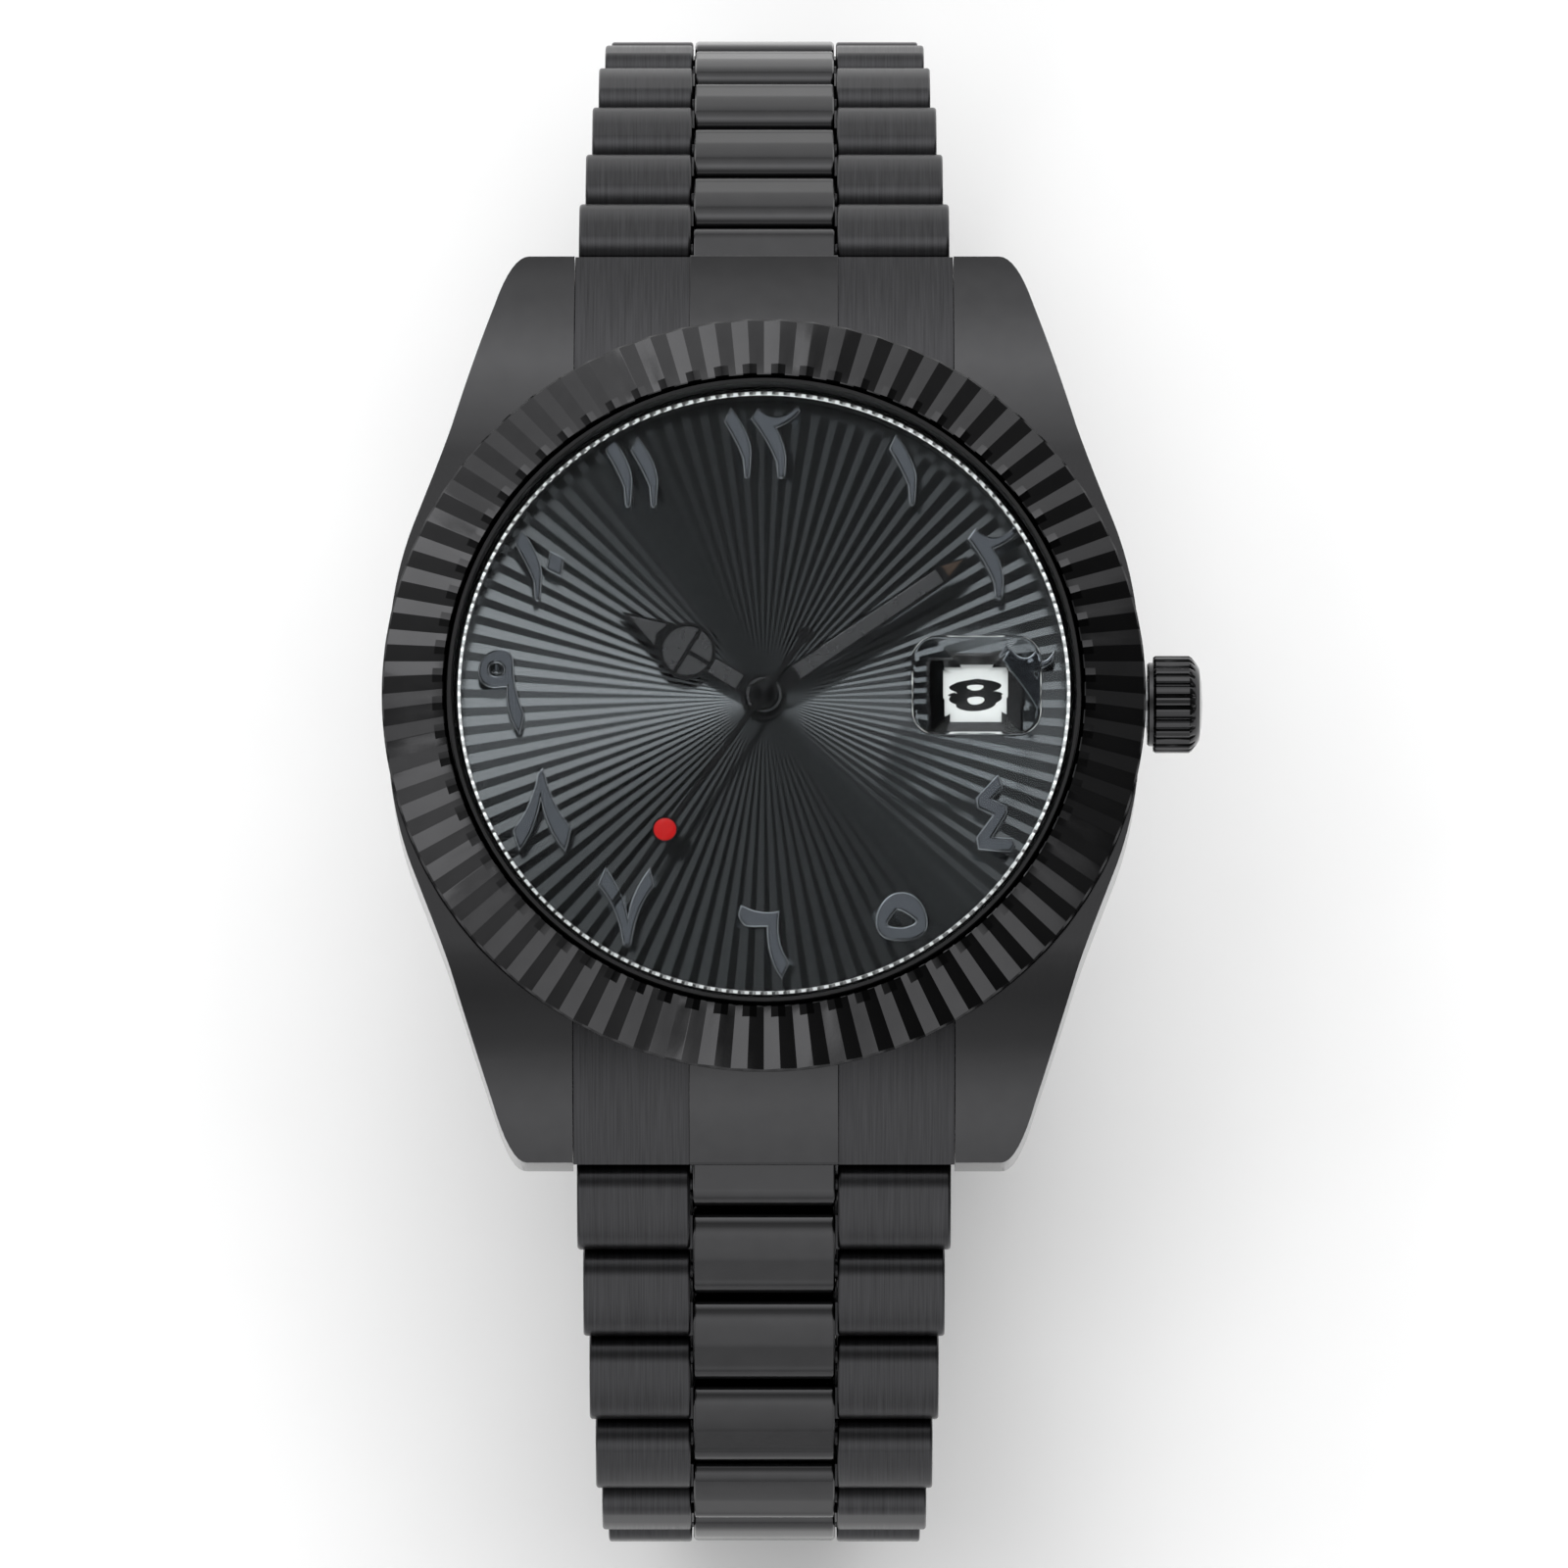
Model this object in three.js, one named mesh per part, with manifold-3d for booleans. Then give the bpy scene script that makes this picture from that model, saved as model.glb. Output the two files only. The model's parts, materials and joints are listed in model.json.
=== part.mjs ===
// A self-winding three-hand wristwatch with a fluted bezel, a date lens and a three-row link bracelet.
// Millimetres, +Z up. The dial faces +Z, 12 o'clock points to +Y and the crown to +X. The closed
// bracelet stands on its clasp: the origin is on the clasp's flat outer face, under the dial centre.
import * as THREE from "three";
import { mergeVertices } from "three/addons/utils/BufferGeometryUtils.js";
import Module from "manifold-3d";

const wasm = await Module();
wasm.setup();

// ---- driving dimensions ----

// Heights in the head are measured from the winding stem's axis.
const BEZEL_RADIUS = 20;
const BEZEL_BORE = 16.6;
const BEZEL_BOTTOM = 2.75;
const BEZEL_EDGE = 3.3;
const BEZEL_TOP = 4.9;
const FLUTES = 72;
const FLUTE_DEPTH = 0.3;
const CASE_TOP = 2.6;
const CASE_BOTTOM = -3.4;
const CASE_CORE_RADIUS = 18.2;
const LUG_GAP = 20;
const LUG_END = 24.2;
const CAVITY_RADIUS = 15;
const DIAL_SEAT_RADIUS = 16.4;
const DIAL_SEAT = 1.25;
const DIAL_RADIUS = 16;
const DIAL_BOTTOM = 1.35;
const DIAL_TOP = 1.75;
const CRYSTAL_RADIUS = 16.3;
const CRYSTAL_BOTTOM = 3.7;
const CRYSTAL_TOP = 5.3;
const LENS_CENTRE_X = 11.1;
const LENS_LENGTH = 6.8;
const LENS_WIDTH = 5.3;
const LENS_TOP = 6.2;
const WINDOW_CENTRE_X = 11.1;
const WINDOW_LENGTH = 3.5;
const WINDOW_WIDTH = 3.1;
const BACK_BOTTOM = -6;
const BACK_TOP = -3.5;
const BACK_RADIUS = 17;

const HOUR_HAND_LENGTH = 8.7;
const MINUTE_HAND_LENGTH = 13;
const SECONDS_HAND_LENGTH = 13.6;
const HOUR_ANGLE = 301.3; // degrees clockwise from 12 o'clock
const MINUTE_ANGLE = 55.5;
const SECONDS_ANGLE = 215.8;
const HAND_THICKNESS = 0.2;
const HOUR_HEIGHT = 2.15;
const MINUTE_HEIGHT = 2.7;
const SECONDS_HEIGHT = 3.2;

const CROWN_START = 20.1;
const CROWN_END = 23;
const CROWN_RADIUS = 2.55;
const CROWN_RIDGES = 26;

const LINK_PITCH = 5.2;
const LINK_END_RADIUS = 1.3; // the rounded ends, about the pins
const LINK_CROWN = 1.5; // top of a link's arch above its pin line
const LINK_FACE = 1.42; // flat end faces stand this far from the neighbour's pin
const CENTRE_HALF = 3.75; // half width of the centre row
const OUTER_INNER = 3.87; // inner face of the outer rows
const PIN_RADIUS = 0.5;
const PIN_HOLE = 0.6;
const LINK_HALF_WIDTHS = [9.8, 9.5, 9.2, 8.9, 8.6, 8.3, 8.1, 8, 8, 8, 8];
const END_PIN = { y: 24.87, z: -3.24 }; // first pin of each half, from the stem's axis
const END_TILT = 26; // the end link's tongue points this far below the horizon, in degrees
const TILTS_12 = [47, 48, 50, 58, 72, 88, 105, 122, 140, 157, 169];
const TILTS_6 = [37, 38, 43, 62, 84, 102, 118, 133, 147, 160, 169];
const SPRING_BAR = { y: 20.9, z: -2 }; // between each pair of lugs

const CLASP_HALF_WIDTH = 8;
const CLASP_PIN_HEIGHT = 1.9;
const CLASP_PLATE = 1;
const CLASP_END = -13.5;
const SKIRT_TOP = 4.3;
const SKIRT_INNER = 7;
const BLADE_PIN = { y: -12, z: 2.4 }; // the long blade's hinge in the cover
const FOLD_PIN = { y: 15.5, z: 2.6 }; // the short blade's hinge in the long blade

// ---- materials ----

const finish = (color, roughness, metalness) =>
  new THREE.MeshStandardMaterial({ color, roughness, metalness });
const BLACK_POLISHED = finish(0x1c1c1d, 0.22, 1);
const BLACK_BRUSHED = finish(0x202021, 0.42, 1);
const DIAL_METAL = finish(0x2c3033, 0.35, 0.8);
const STEEL = finish(0xb9bbbd, 0.3, 1);
const BRASS = finish(0xb08d4a, 0.35, 1);
const RUBBER = finish(0x151515, 0.8, 0);
const WHITE = finish(0xf2f2f0, 0.6, 0);
const CRYSTAL = new THREE.MeshStandardMaterial({
  color: 0xdfe6ea,
  roughness: 0.05,
  metalness: 0,
  transparent: true,
  opacity: 0.25,
});

// ---- solids ----

// A closed geometry as a solid. A profile drawn the other way round gives a negative volume: it is turned.
function solid(geometry) {
  const bare = geometry.index ? geometry.toNonIndexed() : geometry.clone();
  bare.deleteAttribute("normal");
  bare.deleteAttribute("uv");
  const merged = mergeVertices(bare, 1e-4);
  const index = merged.index.array;
  const triangles = [];
  for (let i = 0; i < index.length; i += 3) {
    const [a, b, c] = [index[i], index[i + 1], index[i + 2]];
    if (a !== b && b !== c && c !== a) triangles.push(a, b, c);
  }
  const build = (triVerts) =>
    new wasm.Manifold(
      new wasm.Mesh({
        numProp: 3,
        vertProperties: merged.attributes.position.array,
        triVerts: new Uint32Array(triVerts),
      }),
    );
  const made = build(triangles);
  return made.volume() > 0 ? made : build(triangles.reverse());
}

function geometryOf(made) {
  const mesh = made.getMesh();
  return new THREE.BufferGeometry()
    .setAttribute("position", new THREE.BufferAttribute(mesh.vertProperties, 3))
    .setIndex(new THREE.BufferAttribute(mesh.triVerts, 1));
}

const shapeOf = (points) => new THREE.Shape(points.map(([u, v]) => new THREE.Vector2(u, v)));

const extruded = (shape, depth) =>
  new THREE.ExtrudeGeometry(shape, { depth, bevelEnabled: false, curveSegments: 6 });

// An outline in X and Y, from one height to another.
const plate = (points, bottom, top) =>
  solid(extruded(shapeOf(points), top - bottom).translate(0, 0, bottom));

// An outline in Y and Z, from one X to another.
const AXES_TO_X = new THREE.Matrix4().makeBasis(
  new THREE.Vector3(0, 1, 0),
  new THREE.Vector3(0, 0, 1),
  new THREE.Vector3(1, 0, 0),
);
const section = (points, from, to) =>
  solid(extruded(shapeOf(points), to - from).applyMatrix4(AXES_TO_X).translate(from, 0, 0));

// The same outline on both sides of the centre plane.
const mirroredSection = (points, inner, outer) =>
  section(points, inner, outer).add(section(points, -outer, -inner));

const box = ([x0, y0, z0], [x1, y1, z1]) =>
  solid(
    new THREE.BoxGeometry(x1 - x0, y1 - y0, z1 - z0).translate(
      (x0 + x1) / 2,
      (y0 + y1) / 2,
      (z0 + z1) / 2,
    ),
  );

// A profile of [radius, height] points turned about the vertical axis.
const turned = (profile, segments, x = 0, y = 0) =>
  solid(
    new THREE.LatheGeometry(
      profile.map(([r, z]) => new THREE.Vector2(r, z)),
      segments,
    )
      .rotateX(Math.PI / 2)
      .translate(x, y, 0),
  );

const ringProfile = (inner, outer, bottom, top) => [
  [inner, bottom],
  [outer, bottom],
  [outer, top],
  [inner, top],
  [inner, bottom],
];

const ring = (inner, outer, bottom, top, segments = 36) =>
  turned(ringProfile(inner, outer, bottom, top), segments);

const disc = (radius, bottom, top, segments = 32, x = 0, y = 0) =>
  turned(
    [
      [0, bottom],
      [radius, bottom],
      [radius, top],
      [0, top],
    ],
    segments,
    x,
    y,
  );

// A round bar along X, at a place in Y and Z.
const barX = (radius, from, to, sides = 10, y = 0, z = 0) =>
  solid(
    new THREE.CylinderGeometry(radius, radius, to - from, sides)
      .rotateZ(Math.PI / 2)
      .translate((from + to) / 2, y, z),
  );

// Points of an arc about a centre, from one angle to another, in degrees.
function arc([cu, cv], radius, from, to, steps) {
  const points = [];
  for (let i = 0; i <= steps; i++) {
    const angle = THREE.MathUtils.degToRad(from + ((to - from) * i) / steps);
    points.push([cu + radius * Math.cos(angle), cv + radius * Math.sin(angle)]);
  }
  return points;
}

// Points of a quadratic curve, its first point included and its last left out.
function bend(start, control, end, steps) {
  const curve = new THREE.QuadraticBezierCurve(
    new THREE.Vector2(...start),
    new THREE.Vector2(...control),
    new THREE.Vector2(...end),
  );
  return curve
    .getPoints(steps)
    .slice(0, -1)
    .map((p) => [p.x, p.y]);
}

function mesh(name, made, material, parent) {
  const node = new THREE.Mesh(geometryOf(made), material);
  node.name = name;
  parent.add(node);
  return node;
}

// ---- layout: the pin path of each half of the bracelet ----

function pinPath(tilts) {
  const pins = [END_PIN];
  for (const tilt of tilts) {
    const angle = THREE.MathUtils.degToRad(tilt);
    const last = pins.at(-1);
    pins.push({
      y: last.y + LINK_PITCH * Math.cos(angle),
      z: last.z - LINK_PITCH * Math.sin(angle),
    });
  }
  return pins;
}

const PINS_12 = pinPath(TILTS_12);
const PINS_6 = pinPath(TILTS_6);
const STEM_HEIGHT = CLASP_PIN_HEIGHT - PINS_12.at(-1).z;
const COVER_PIN = { y: PINS_12.at(-1).y, z: CLASP_PIN_HEIGHT };
const BLADE_END_PIN = { y: -PINS_6.at(-1).y, z: STEM_HEIGHT + PINS_6.at(-1).z };

const watch = new THREE.Group();
const head = new THREE.Group();
head.position.z = STEM_HEIGHT;
watch.add(head);

// ---- case ----

const SHOULDER = [[13, CASE_TOP], [19.5, CASE_TOP], [LUG_END, -0.9]];

// Plan of the case with its four lugs, from one quadrant mirrored twice.
function casePlan() {
  const quadrant = [
    ...bend([19.7, 0], [19.9, 5.5], [18.2, 9.6], 5),
    [18.2, 9.6],
    [16.4, 14.4],
    [14.2, 21.2],
    ...bend([13.7, 23], [13.5, 24.2], [12.4, LUG_END], 3),
    [12.4, LUG_END],
  ];
  const half = [...quadrant, ...quadrant.map(([x, y]) => [-x, y]).reverse()];
  const lower = half.slice(1, -1).map(([x, y]) => [x, -y]);
  return [...half, ...lower.reverse()];
}

// Side view of the case and lugs: flat over the middle, hooking down to the lug tips.
function caseSide() {
  const half = [
    ...bend(...SHOULDER, 7),
    [LUG_END, -0.9],
    [LUG_END + 0.1, -3.4],
    [23.5, -4.5],
    ...bend([22.9, -4.6], [20.4, -3.4], [17.2, CASE_BOTTOM], 3),
    [17.2, CASE_BOTTOM],
  ];
  return [...half, ...half.map(([y, z]) => [-y, z]).reverse()];
}

function midCase() {
  const lugHole = (side) => barX(0.55, side > 0 ? 9.9 : -11.6, side > 0 ? 11.6 : -9.9, 8);
  let made = plate(casePlan(), -5, 3).intersect(section(caseSide(), -21, 21));
  const core = disc(CASE_CORE_RADIUS, -6, 4, 48);
  for (const side of [1, -1]) {
    const near = side > 0 ? 14 : -30;
    const gap = box([-LUG_GAP / 2, near, -8], [LUG_GAP / 2, near + 16, 6]).subtract(core);
    made = made.subtract(gap);
    for (const end of [1, -1]) {
      const hole = lugHole(side).translate([0, end * SPRING_BAR.y, SPRING_BAR.z]);
      made = made.subtract(hole);
    }
  }
  return made
    .subtract(disc(CAVITY_RADIUS, -4, 2, 36))
    .subtract(disc(DIAL_SEAT_RADIUS, DIAL_SEAT, 3, 48))
    .subtract(disc(15.4, -4, -2.2, 36))
    .subtract(ring(15.8, 16.7, -4, -3))
    .subtract(barX(1.35, 12, 21, 12));
}

mesh("mid_case", midCase(), BLACK_POLISHED, head);

// Radial ridges and valleys alternate round the bezel's sloping face.
function bezel() {
  const profile = [
    [BEZEL_BORE, BEZEL_BOTTOM],
    [BEZEL_RADIUS, BEZEL_BOTTOM],
    [BEZEL_RADIUS, BEZEL_EDGE],
    [17, BEZEL_TOP - 0.15],
    [BEZEL_BORE, BEZEL_TOP],
    [BEZEL_BORE, BEZEL_BOTTOM],
  ];
  const lathe = new THREE.LatheGeometry(
    profile.map(([r, z]) => new THREE.Vector2(r, z)),
    2 * FLUTES,
  );
  const place = lathe.attributes.position;
  for (let column = 1; column <= 2 * FLUTES; column += 2) {
    for (const row of [2, 3]) {
      const i = column * profile.length + row;
      place.setY(i, place.getY(i) - FLUTE_DEPTH);
    }
  }
  return solid(lathe.rotateX(Math.PI / 2));
}
mesh("bezel", bezel(), BLACK_POLISHED, head);

mesh(
  "crystal",
  turned(
    [
      [0, CRYSTAL_BOTTOM],
      [CRYSTAL_RADIUS, CRYSTAL_BOTTOM],
      [CRYSTAL_RADIUS, CRYSTAL_TOP - 0.35],
      [CRYSTAL_RADIUS - 0.35, CRYSTAL_TOP],
      [0, CRYSTAL_TOP],
    ],
    64,
  ),
  CRYSTAL,
  head,
);

mesh("crystal_gasket", ring(16.36, 16.54, 3.2, 4.7, 48), RUBBER, head);

// The date lens is a low cushion of glass with rounded corners and a bevelled rim.
function dateLens() {
  const corner = 1.3;
  const bevel = 0.45;
  const halfX = LENS_LENGTH / 2 - bevel;
  const halfY = LENS_WIDTH / 2 - bevel;
  const round = corner - bevel;
  const outline = [
    ...arc([halfX - round, halfY - round], round, 0, 90, 4),
    ...arc([-halfX + round, halfY - round], round, 90, 180, 4),
    ...arc([-halfX + round, -halfY + round], round, 180, 270, 4),
    ...arc([halfX - round, -halfY + round], round, 270, 360, 4),
  ];
  const bottom = CRYSTAL_TOP + 0.06;
  const raised = new THREE.ExtrudeGeometry(shapeOf(outline), {
    depth: 0.2,
    bevelEnabled: true,
    bevelSize: bevel,
    bevelThickness: LENS_TOP - bottom - 0.2,
    bevelSegments: 3,
  }).translate(LENS_CENTRE_X, 0, bottom);
  return solid(raised).intersect(box([5, -5, bottom], [17, 5, LENS_TOP + 1]));
}
mesh("date_lens", dateLens(), CRYSTAL, head);

mesh(
  "rehaut_ring",
  turned(
    [
      [15.85, 1.85],
      [16.3, 1.85],
      [16.3, 3.6],
      [16.1, 3.6],
      [15.85, 1.85],
    ],
    48,
  ),
  BLACK_POLISHED,
  head,
);

function dial() {
  const halfX = WINDOW_LENGTH / 2;
  const halfY = WINDOW_WIDTH / 2;
  return disc(DIAL_RADIUS, DIAL_BOTTOM, DIAL_TOP, 48)
    .subtract(disc(1.1, 1, 2, 16))
    .subtract(box([WINDOW_CENTRE_X - halfX, -halfY, 1], [WINDOW_CENTRE_X + halfX, halfY, 2]));
}
mesh("dial", dial(), DIAL_METAL, head);
mesh("date_disc", ring(8.4, 13.8, 0.95, 1.2), WHITE, head);

// ---- hands: each is drawn pointing to 12 o'clock and then turned ----

const hubPlate = (outline, bottom, hubRadius, holeRadius) =>
  plate(outline, bottom, bottom + HAND_THICKNESS)
    .add(disc(hubRadius, bottom, bottom + HAND_THICKNESS, 20))
    .subtract(disc(holeRadius, bottom - 1, bottom + 1, 12));

// Neck, open ring with a T-shaped divider, and spear tip. The pipe reaches down through the dial.
function hourHand() {
  const ringPlace = 4.7;
  const ringRadius = 1.5;
  const top = HOUR_HEIGHT + HAND_THICKNESS;
  const outline = [
    [0.53, 0],
    [0.53, ringPlace],
    [0.95, ringPlace + 1],
    [0, HOUR_HAND_LENGTH],
    [-0.95, ringPlace + 1],
    [-0.53, ringPlace],
    [-0.53, 0],
  ];
  const bar = 0.13;
  const opening = disc(ringRadius - 0.25, HOUR_HEIGHT - 1, top + 1, 16, 0, ringPlace)
    .subtract(box([-2, ringPlace - bar, 0], [2, ringPlace + bar, 4]))
    .subtract(box([-bar, ringPlace - 2, 0], [bar, ringPlace, 4]));
  return plate(outline, HOUR_HEIGHT, top)
    .add(disc(ringRadius, HOUR_HEIGHT, top, 20, 0, ringPlace))
    .subtract(opening)
    .add(disc(1.2, HOUR_HEIGHT, top, 16))
    .add(disc(0.85, 0.6, top, 12))
    .subtract(disc(0.6, 0, 4, 10));
}

function minuteHand() {
  const outline = [
    [0.55, 0],
    [0.5, MINUTE_HAND_LENGTH - 1.6],
    [0, MINUTE_HAND_LENGTH],
    [-0.5, MINUTE_HAND_LENGTH - 1.6],
    [-0.55, 0],
  ];
  return hubPlate(outline, MINUTE_HEIGHT, 1, 0.55);
}

// A needle with a round spot near its tip and a ball counterweight, on its own arbor.
function secondsHand() {
  const spot = 8.9;
  const tail = -3.8;
  const top = SECONDS_HEIGHT + HAND_THICKNESS;
  const outline = [
    [0.16, tail],
    [0.13, spot],
    [0.07, SECONDS_HAND_LENGTH],
    [-0.07, SECONDS_HAND_LENGTH],
    [-0.13, spot],
    [-0.16, tail],
  ];
  return plate(outline, SECONDS_HEIGHT, top)
    .add(disc(0.62, SECONDS_HEIGHT, top, 16, 0, spot))
    .add(disc(0.42, SECONDS_HEIGHT, top, 14, 0, tail))
    .add(disc(0.75, SECONDS_HEIGHT, top, 18))
    .add(disc(0.18, -2.9, top, 8));
}

for (const [name, made, angle] of [
  ["hour_hand", hourHand(), HOUR_ANGLE],
  ["minute_hand", minuteHand(), MINUTE_ANGLE],
  ["seconds_hand", secondsHand(), SECONDS_ANGLE],
]) {
  mesh(name, made, BLACK_POLISHED, head).rotation.z = -THREE.MathUtils.degToRad(angle);
}

// ---- movement ----

const PINION = { from: 8.4, to: 10.4, radius: 0.85 };
mesh(
  "main_plate",
  disc(12.8, -1.3, 0.5, 36)
    .subtract(disc(1, -2, 1, 16))
    .subtract(barX(0.7, 6, 14, 10))
    .subtract(barX(1.1, PINION.from - 0.2, PINION.to + 0.2, 12)),
  BRASS,
  head,
);
mesh(
  "movement_holder",
  ring(13.1, 14.8, -3.2, 0.8).subtract(barX(0.8, 12, 16, 10)),
  WHITE,
  head,
);
mesh("mainspring_barrel", disc(4, -2.9, -1.5, 24, -6, 4.4), BRASS, head);
mesh(
  "center_wheel",
  disc(3, -2, -1.7, 32)
    .add(disc(0.5, -2, 2.95, 12))
    .subtract(disc(0.3, -3, 4, 8)),
  BRASS,
  head,
);
mesh("seconds_wheel", ring(0.24, 2.2, -2.6, -2.35, 24), BRASS, head);

const BALANCE = { x: 4.5, y: -6 };
function balanceWheel() {
  const rim = turned(ringProfile(3.3, 3.8, -2.5, -2.1), 28, BALANCE.x, BALANCE.y);
  const spoke = box([BALANCE.x - 3.4, BALANCE.y - 0.2, -2.45], [BALANCE.x + 3.4, BALANCE.y + 0.2, -2.15]);
  return rim.add(spoke).add(disc(0.3, -2.85, -1.5, 8, BALANCE.x, BALANCE.y));
}
mesh("balance_wheel", balanceWheel(), BRASS, head);

// One bridge carries the barrel, the train and the rotor's post, another the balance.
function trainBridge() {
  const outline = [...arc([0, 0], 10.6, 20, 200, 14), [-4, -3.2], [1.5, -3.2], [3, 0.5]];
  return plate(outline, -3.4, -3.05).add(disc(0.8, -4.4, -3.2, 14));
}
mesh("train_bridge", trainBridge(), STEEL, head);
mesh(
  "balance_bridge",
  box([BALANCE.x - 0.8, -10.4, -3.4], [BALANCE.x + 0.8, -4.9, -3.05]).add(
    disc(1, -3.4, -1.4, 12, BALANCE.x, -11),
  ),
  STEEL,
  head,
);

// The winding weight is a half disc with a heavy rim, free on the bridge's post.
function rotor() {
  const half = [...arc([0, 0], 12.6, 180, 360, 24)];
  const inner = [...arc([0, 0], 11, 170, 370, 24)];
  return plate(half, -4.3, -3.55)
    .subtract(plate(inner, -4, -3))
    .add(disc(1.8, -4.3, -4, 20))
    .subtract(disc(0.9, -5, -3, 14));
}
mesh("rotor", rotor(), STEEL, head);

// ---- crown and stem ----

mesh("winding_stem", barX(0.45, 6.5, 22.3, 10), STEEL, head);
mesh(
  "winding_pinion",
  barX(PINION.radius, PINION.from, PINION.to, 12).subtract(barX(0.55, 8, 11, 10)),
  STEEL,
  head,
);
mesh("crown_tube", barX(1.22, 17.4, 21.8, 14).subtract(barX(0.62, 17, 22, 10)), STEEL, head);
mesh("crown_gasket", barX(1.46, 21.38, 21.68, 14).subtract(barX(1.28, 21, 22, 14)), RUBBER, head);

function crown() {
  const sides = 2 * CROWN_RIDGES;
  const knurled = new THREE.CylinderGeometry(CROWN_RADIUS, CROWN_RADIUS, 2.2, sides);
  const place = knurled.attributes.position;
  for (let i = 0; i < place.count; i++) {
    const [x, z] = [place.getX(i), place.getZ(i)];
    const step = Math.round((Math.atan2(x, z) / (2 * Math.PI)) * sides);
    const scale = step % 2 === 0 ? 1 : 1 - 0.2 / CROWN_RADIUS;
    place.setX(i, x * scale);
    place.setZ(i, z * scale);
  }
  const body = knurled.rotateZ(Math.PI / 2).translate(CROWN_START + 1.4, 0, 0);
  return solid(body)
    .add(barX(2.2, CROWN_START, CROWN_START + 0.4, 28))
    .add(barX(2.4, CROWN_START + 2.4, CROWN_END, 28))
    .subtract(barX(1.55, CROWN_START - 1, 22, 16))
    .subtract(barX(0.55, 21, 22.4, 10));
}
mesh("crown", crown(), BLACK_POLISHED, head);

// ---- case back ----

mesh(
  "case_back",
  turned(
    [
      [0, BACK_BOTTOM],
      [15.2, BACK_BOTTOM],
      [16.6, -5.2],
      [BACK_RADIUS, -4.4],
      [BACK_RADIUS, BACK_TOP],
      [15.3, BACK_TOP],
      [15.3, -2.35],
      [14.95, -2.35],
      [14.95, BACK_TOP],
      [14.4, -4.7],
      [0, -4.7],
    ],
    40,
  ),
  BLACK_BRUSHED,
  head,
);
mesh("back_gasket", ring(15.95, 16.55, -3.4, -3.1), RUBBER, head);

// ---- bracelet ----

// Side outline of a link's outer rows: round about its own pin at the origin, flat at the far end.
const OUTER_OUTLINE = [
  ...arc([0, 0], LINK_END_RADIUS, 262, 100, 5),
  ...bend([0.4, 1.38], [1.3, 1.62], [2.4, 1.42], 2),
  ...bend([2.4, 1.42], [3.4, 1.2], [LINK_PITCH - LINK_FACE, 0.45], 2),
  [LINK_PITCH - LINK_FACE, 0.45],
  [LINK_PITCH - LINK_FACE, -0.85],
  [3.2, -1.28],
];

// The centre row is half a pitch further on: flat at the near end, round about the next pin.
const CENTRE_OUTLINE = [
  [LINK_FACE, -1.1],
  [LINK_FACE, 0.9],
  ...bend([1.75, 1.35], [2.9, LINK_CROWN + 0.12], [4.2, 1.46], 2),
  ...arc([LINK_PITCH, 0], LINK_END_RADIUS, 96, -96, 6),
  [1.9, -1.28],
];

const BRIDGE_OUTLINE = [
  [1.5, -1],
  [1.5, 0.8],
  [3.7, 0.8],
  [3.7, -1],
];

function link(halfWidth) {
  return mirroredSection(OUTER_OUTLINE, OUTER_INNER, halfWidth)
    .add(section(CENTRE_OUTLINE, -CENTRE_HALF, CENTRE_HALF))
    .add(section(BRIDGE_OUTLINE, -OUTER_INNER - 0.4, OUTER_INNER + 0.4))
    .add(barX(PIN_RADIUS, -OUTER_INNER - 0.5, OUTER_INNER + 0.5, 8))
    .subtract(barX(PIN_HOLE, -6, 6, 8, LINK_PITCH, 0));
}

// The end link fills the gap between two lugs; its tongue carries the first pin.
function endLink() {
  const tilt = THREE.MathUtils.degToRad(END_TILT);
  const along = [Math.cos(tilt), -Math.sin(tilt)];
  const out = [Math.sin(tilt), Math.cos(tilt)];
  const at = (s, n) => [END_PIN.y + s * along[0] + n * out[0], END_PIN.z + s * along[1] + n * out[1]];
  const [start, control] = SHOULDER.map(([y, z]) => [y, z - 0.12]);
  const body = [
    ...bend([14.6, start[1]], control, at(-LINK_FACE, 1.5), 7),
    at(-LINK_FACE, 1.5),
    at(-LINK_FACE, -1.2),
    [20.5, -3.7],
    [14.6, CASE_BOTTOM],
  ];
  const raised = [
    ...bend([14.6, start[1] + 0.12], [19.7, start[1] + 0.25], at(-LINK_FACE - 0.25, 1.85), 7),
    at(-LINK_FACE - 0.25, 1.85),
    at(-LINK_FACE, 1.6),
    at(-LINK_FACE, 0),
    [20, -1],
  ];
  const tongue = [
    at(-LINK_FACE - 1, -1.1),
    at(-LINK_FACE - 1, 1.2),
    ...arc([END_PIN.y, END_PIN.z], LINK_END_RADIUS, 92 - END_TILT, -92 - END_TILT, 8),
  ];
  return section(body, -9.85, 9.85)
    .add(section(raised, -OUTER_INNER - 0.05, OUTER_INNER + 0.05))
    .add(section(tongue, -CENTRE_HALF, CENTRE_HALF))
    .subtract(disc(CASE_CORE_RADIUS + 0.25, -8, 6, 48))
    .subtract(barX(0.85, -12, 12, 10, SPRING_BAR.y, SPRING_BAR.z))
    .subtract(barX(PIN_HOLE, -6, 6, 8, END_PIN.y, END_PIN.z));
}

const springBar = () =>
  barX(0.75, -9.7, 9.7, 10, SPRING_BAR.y, SPRING_BAR.z).add(
    barX(0.45, -11.3, 11.3, 8, SPRING_BAR.y, SPRING_BAR.z),
  );

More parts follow.
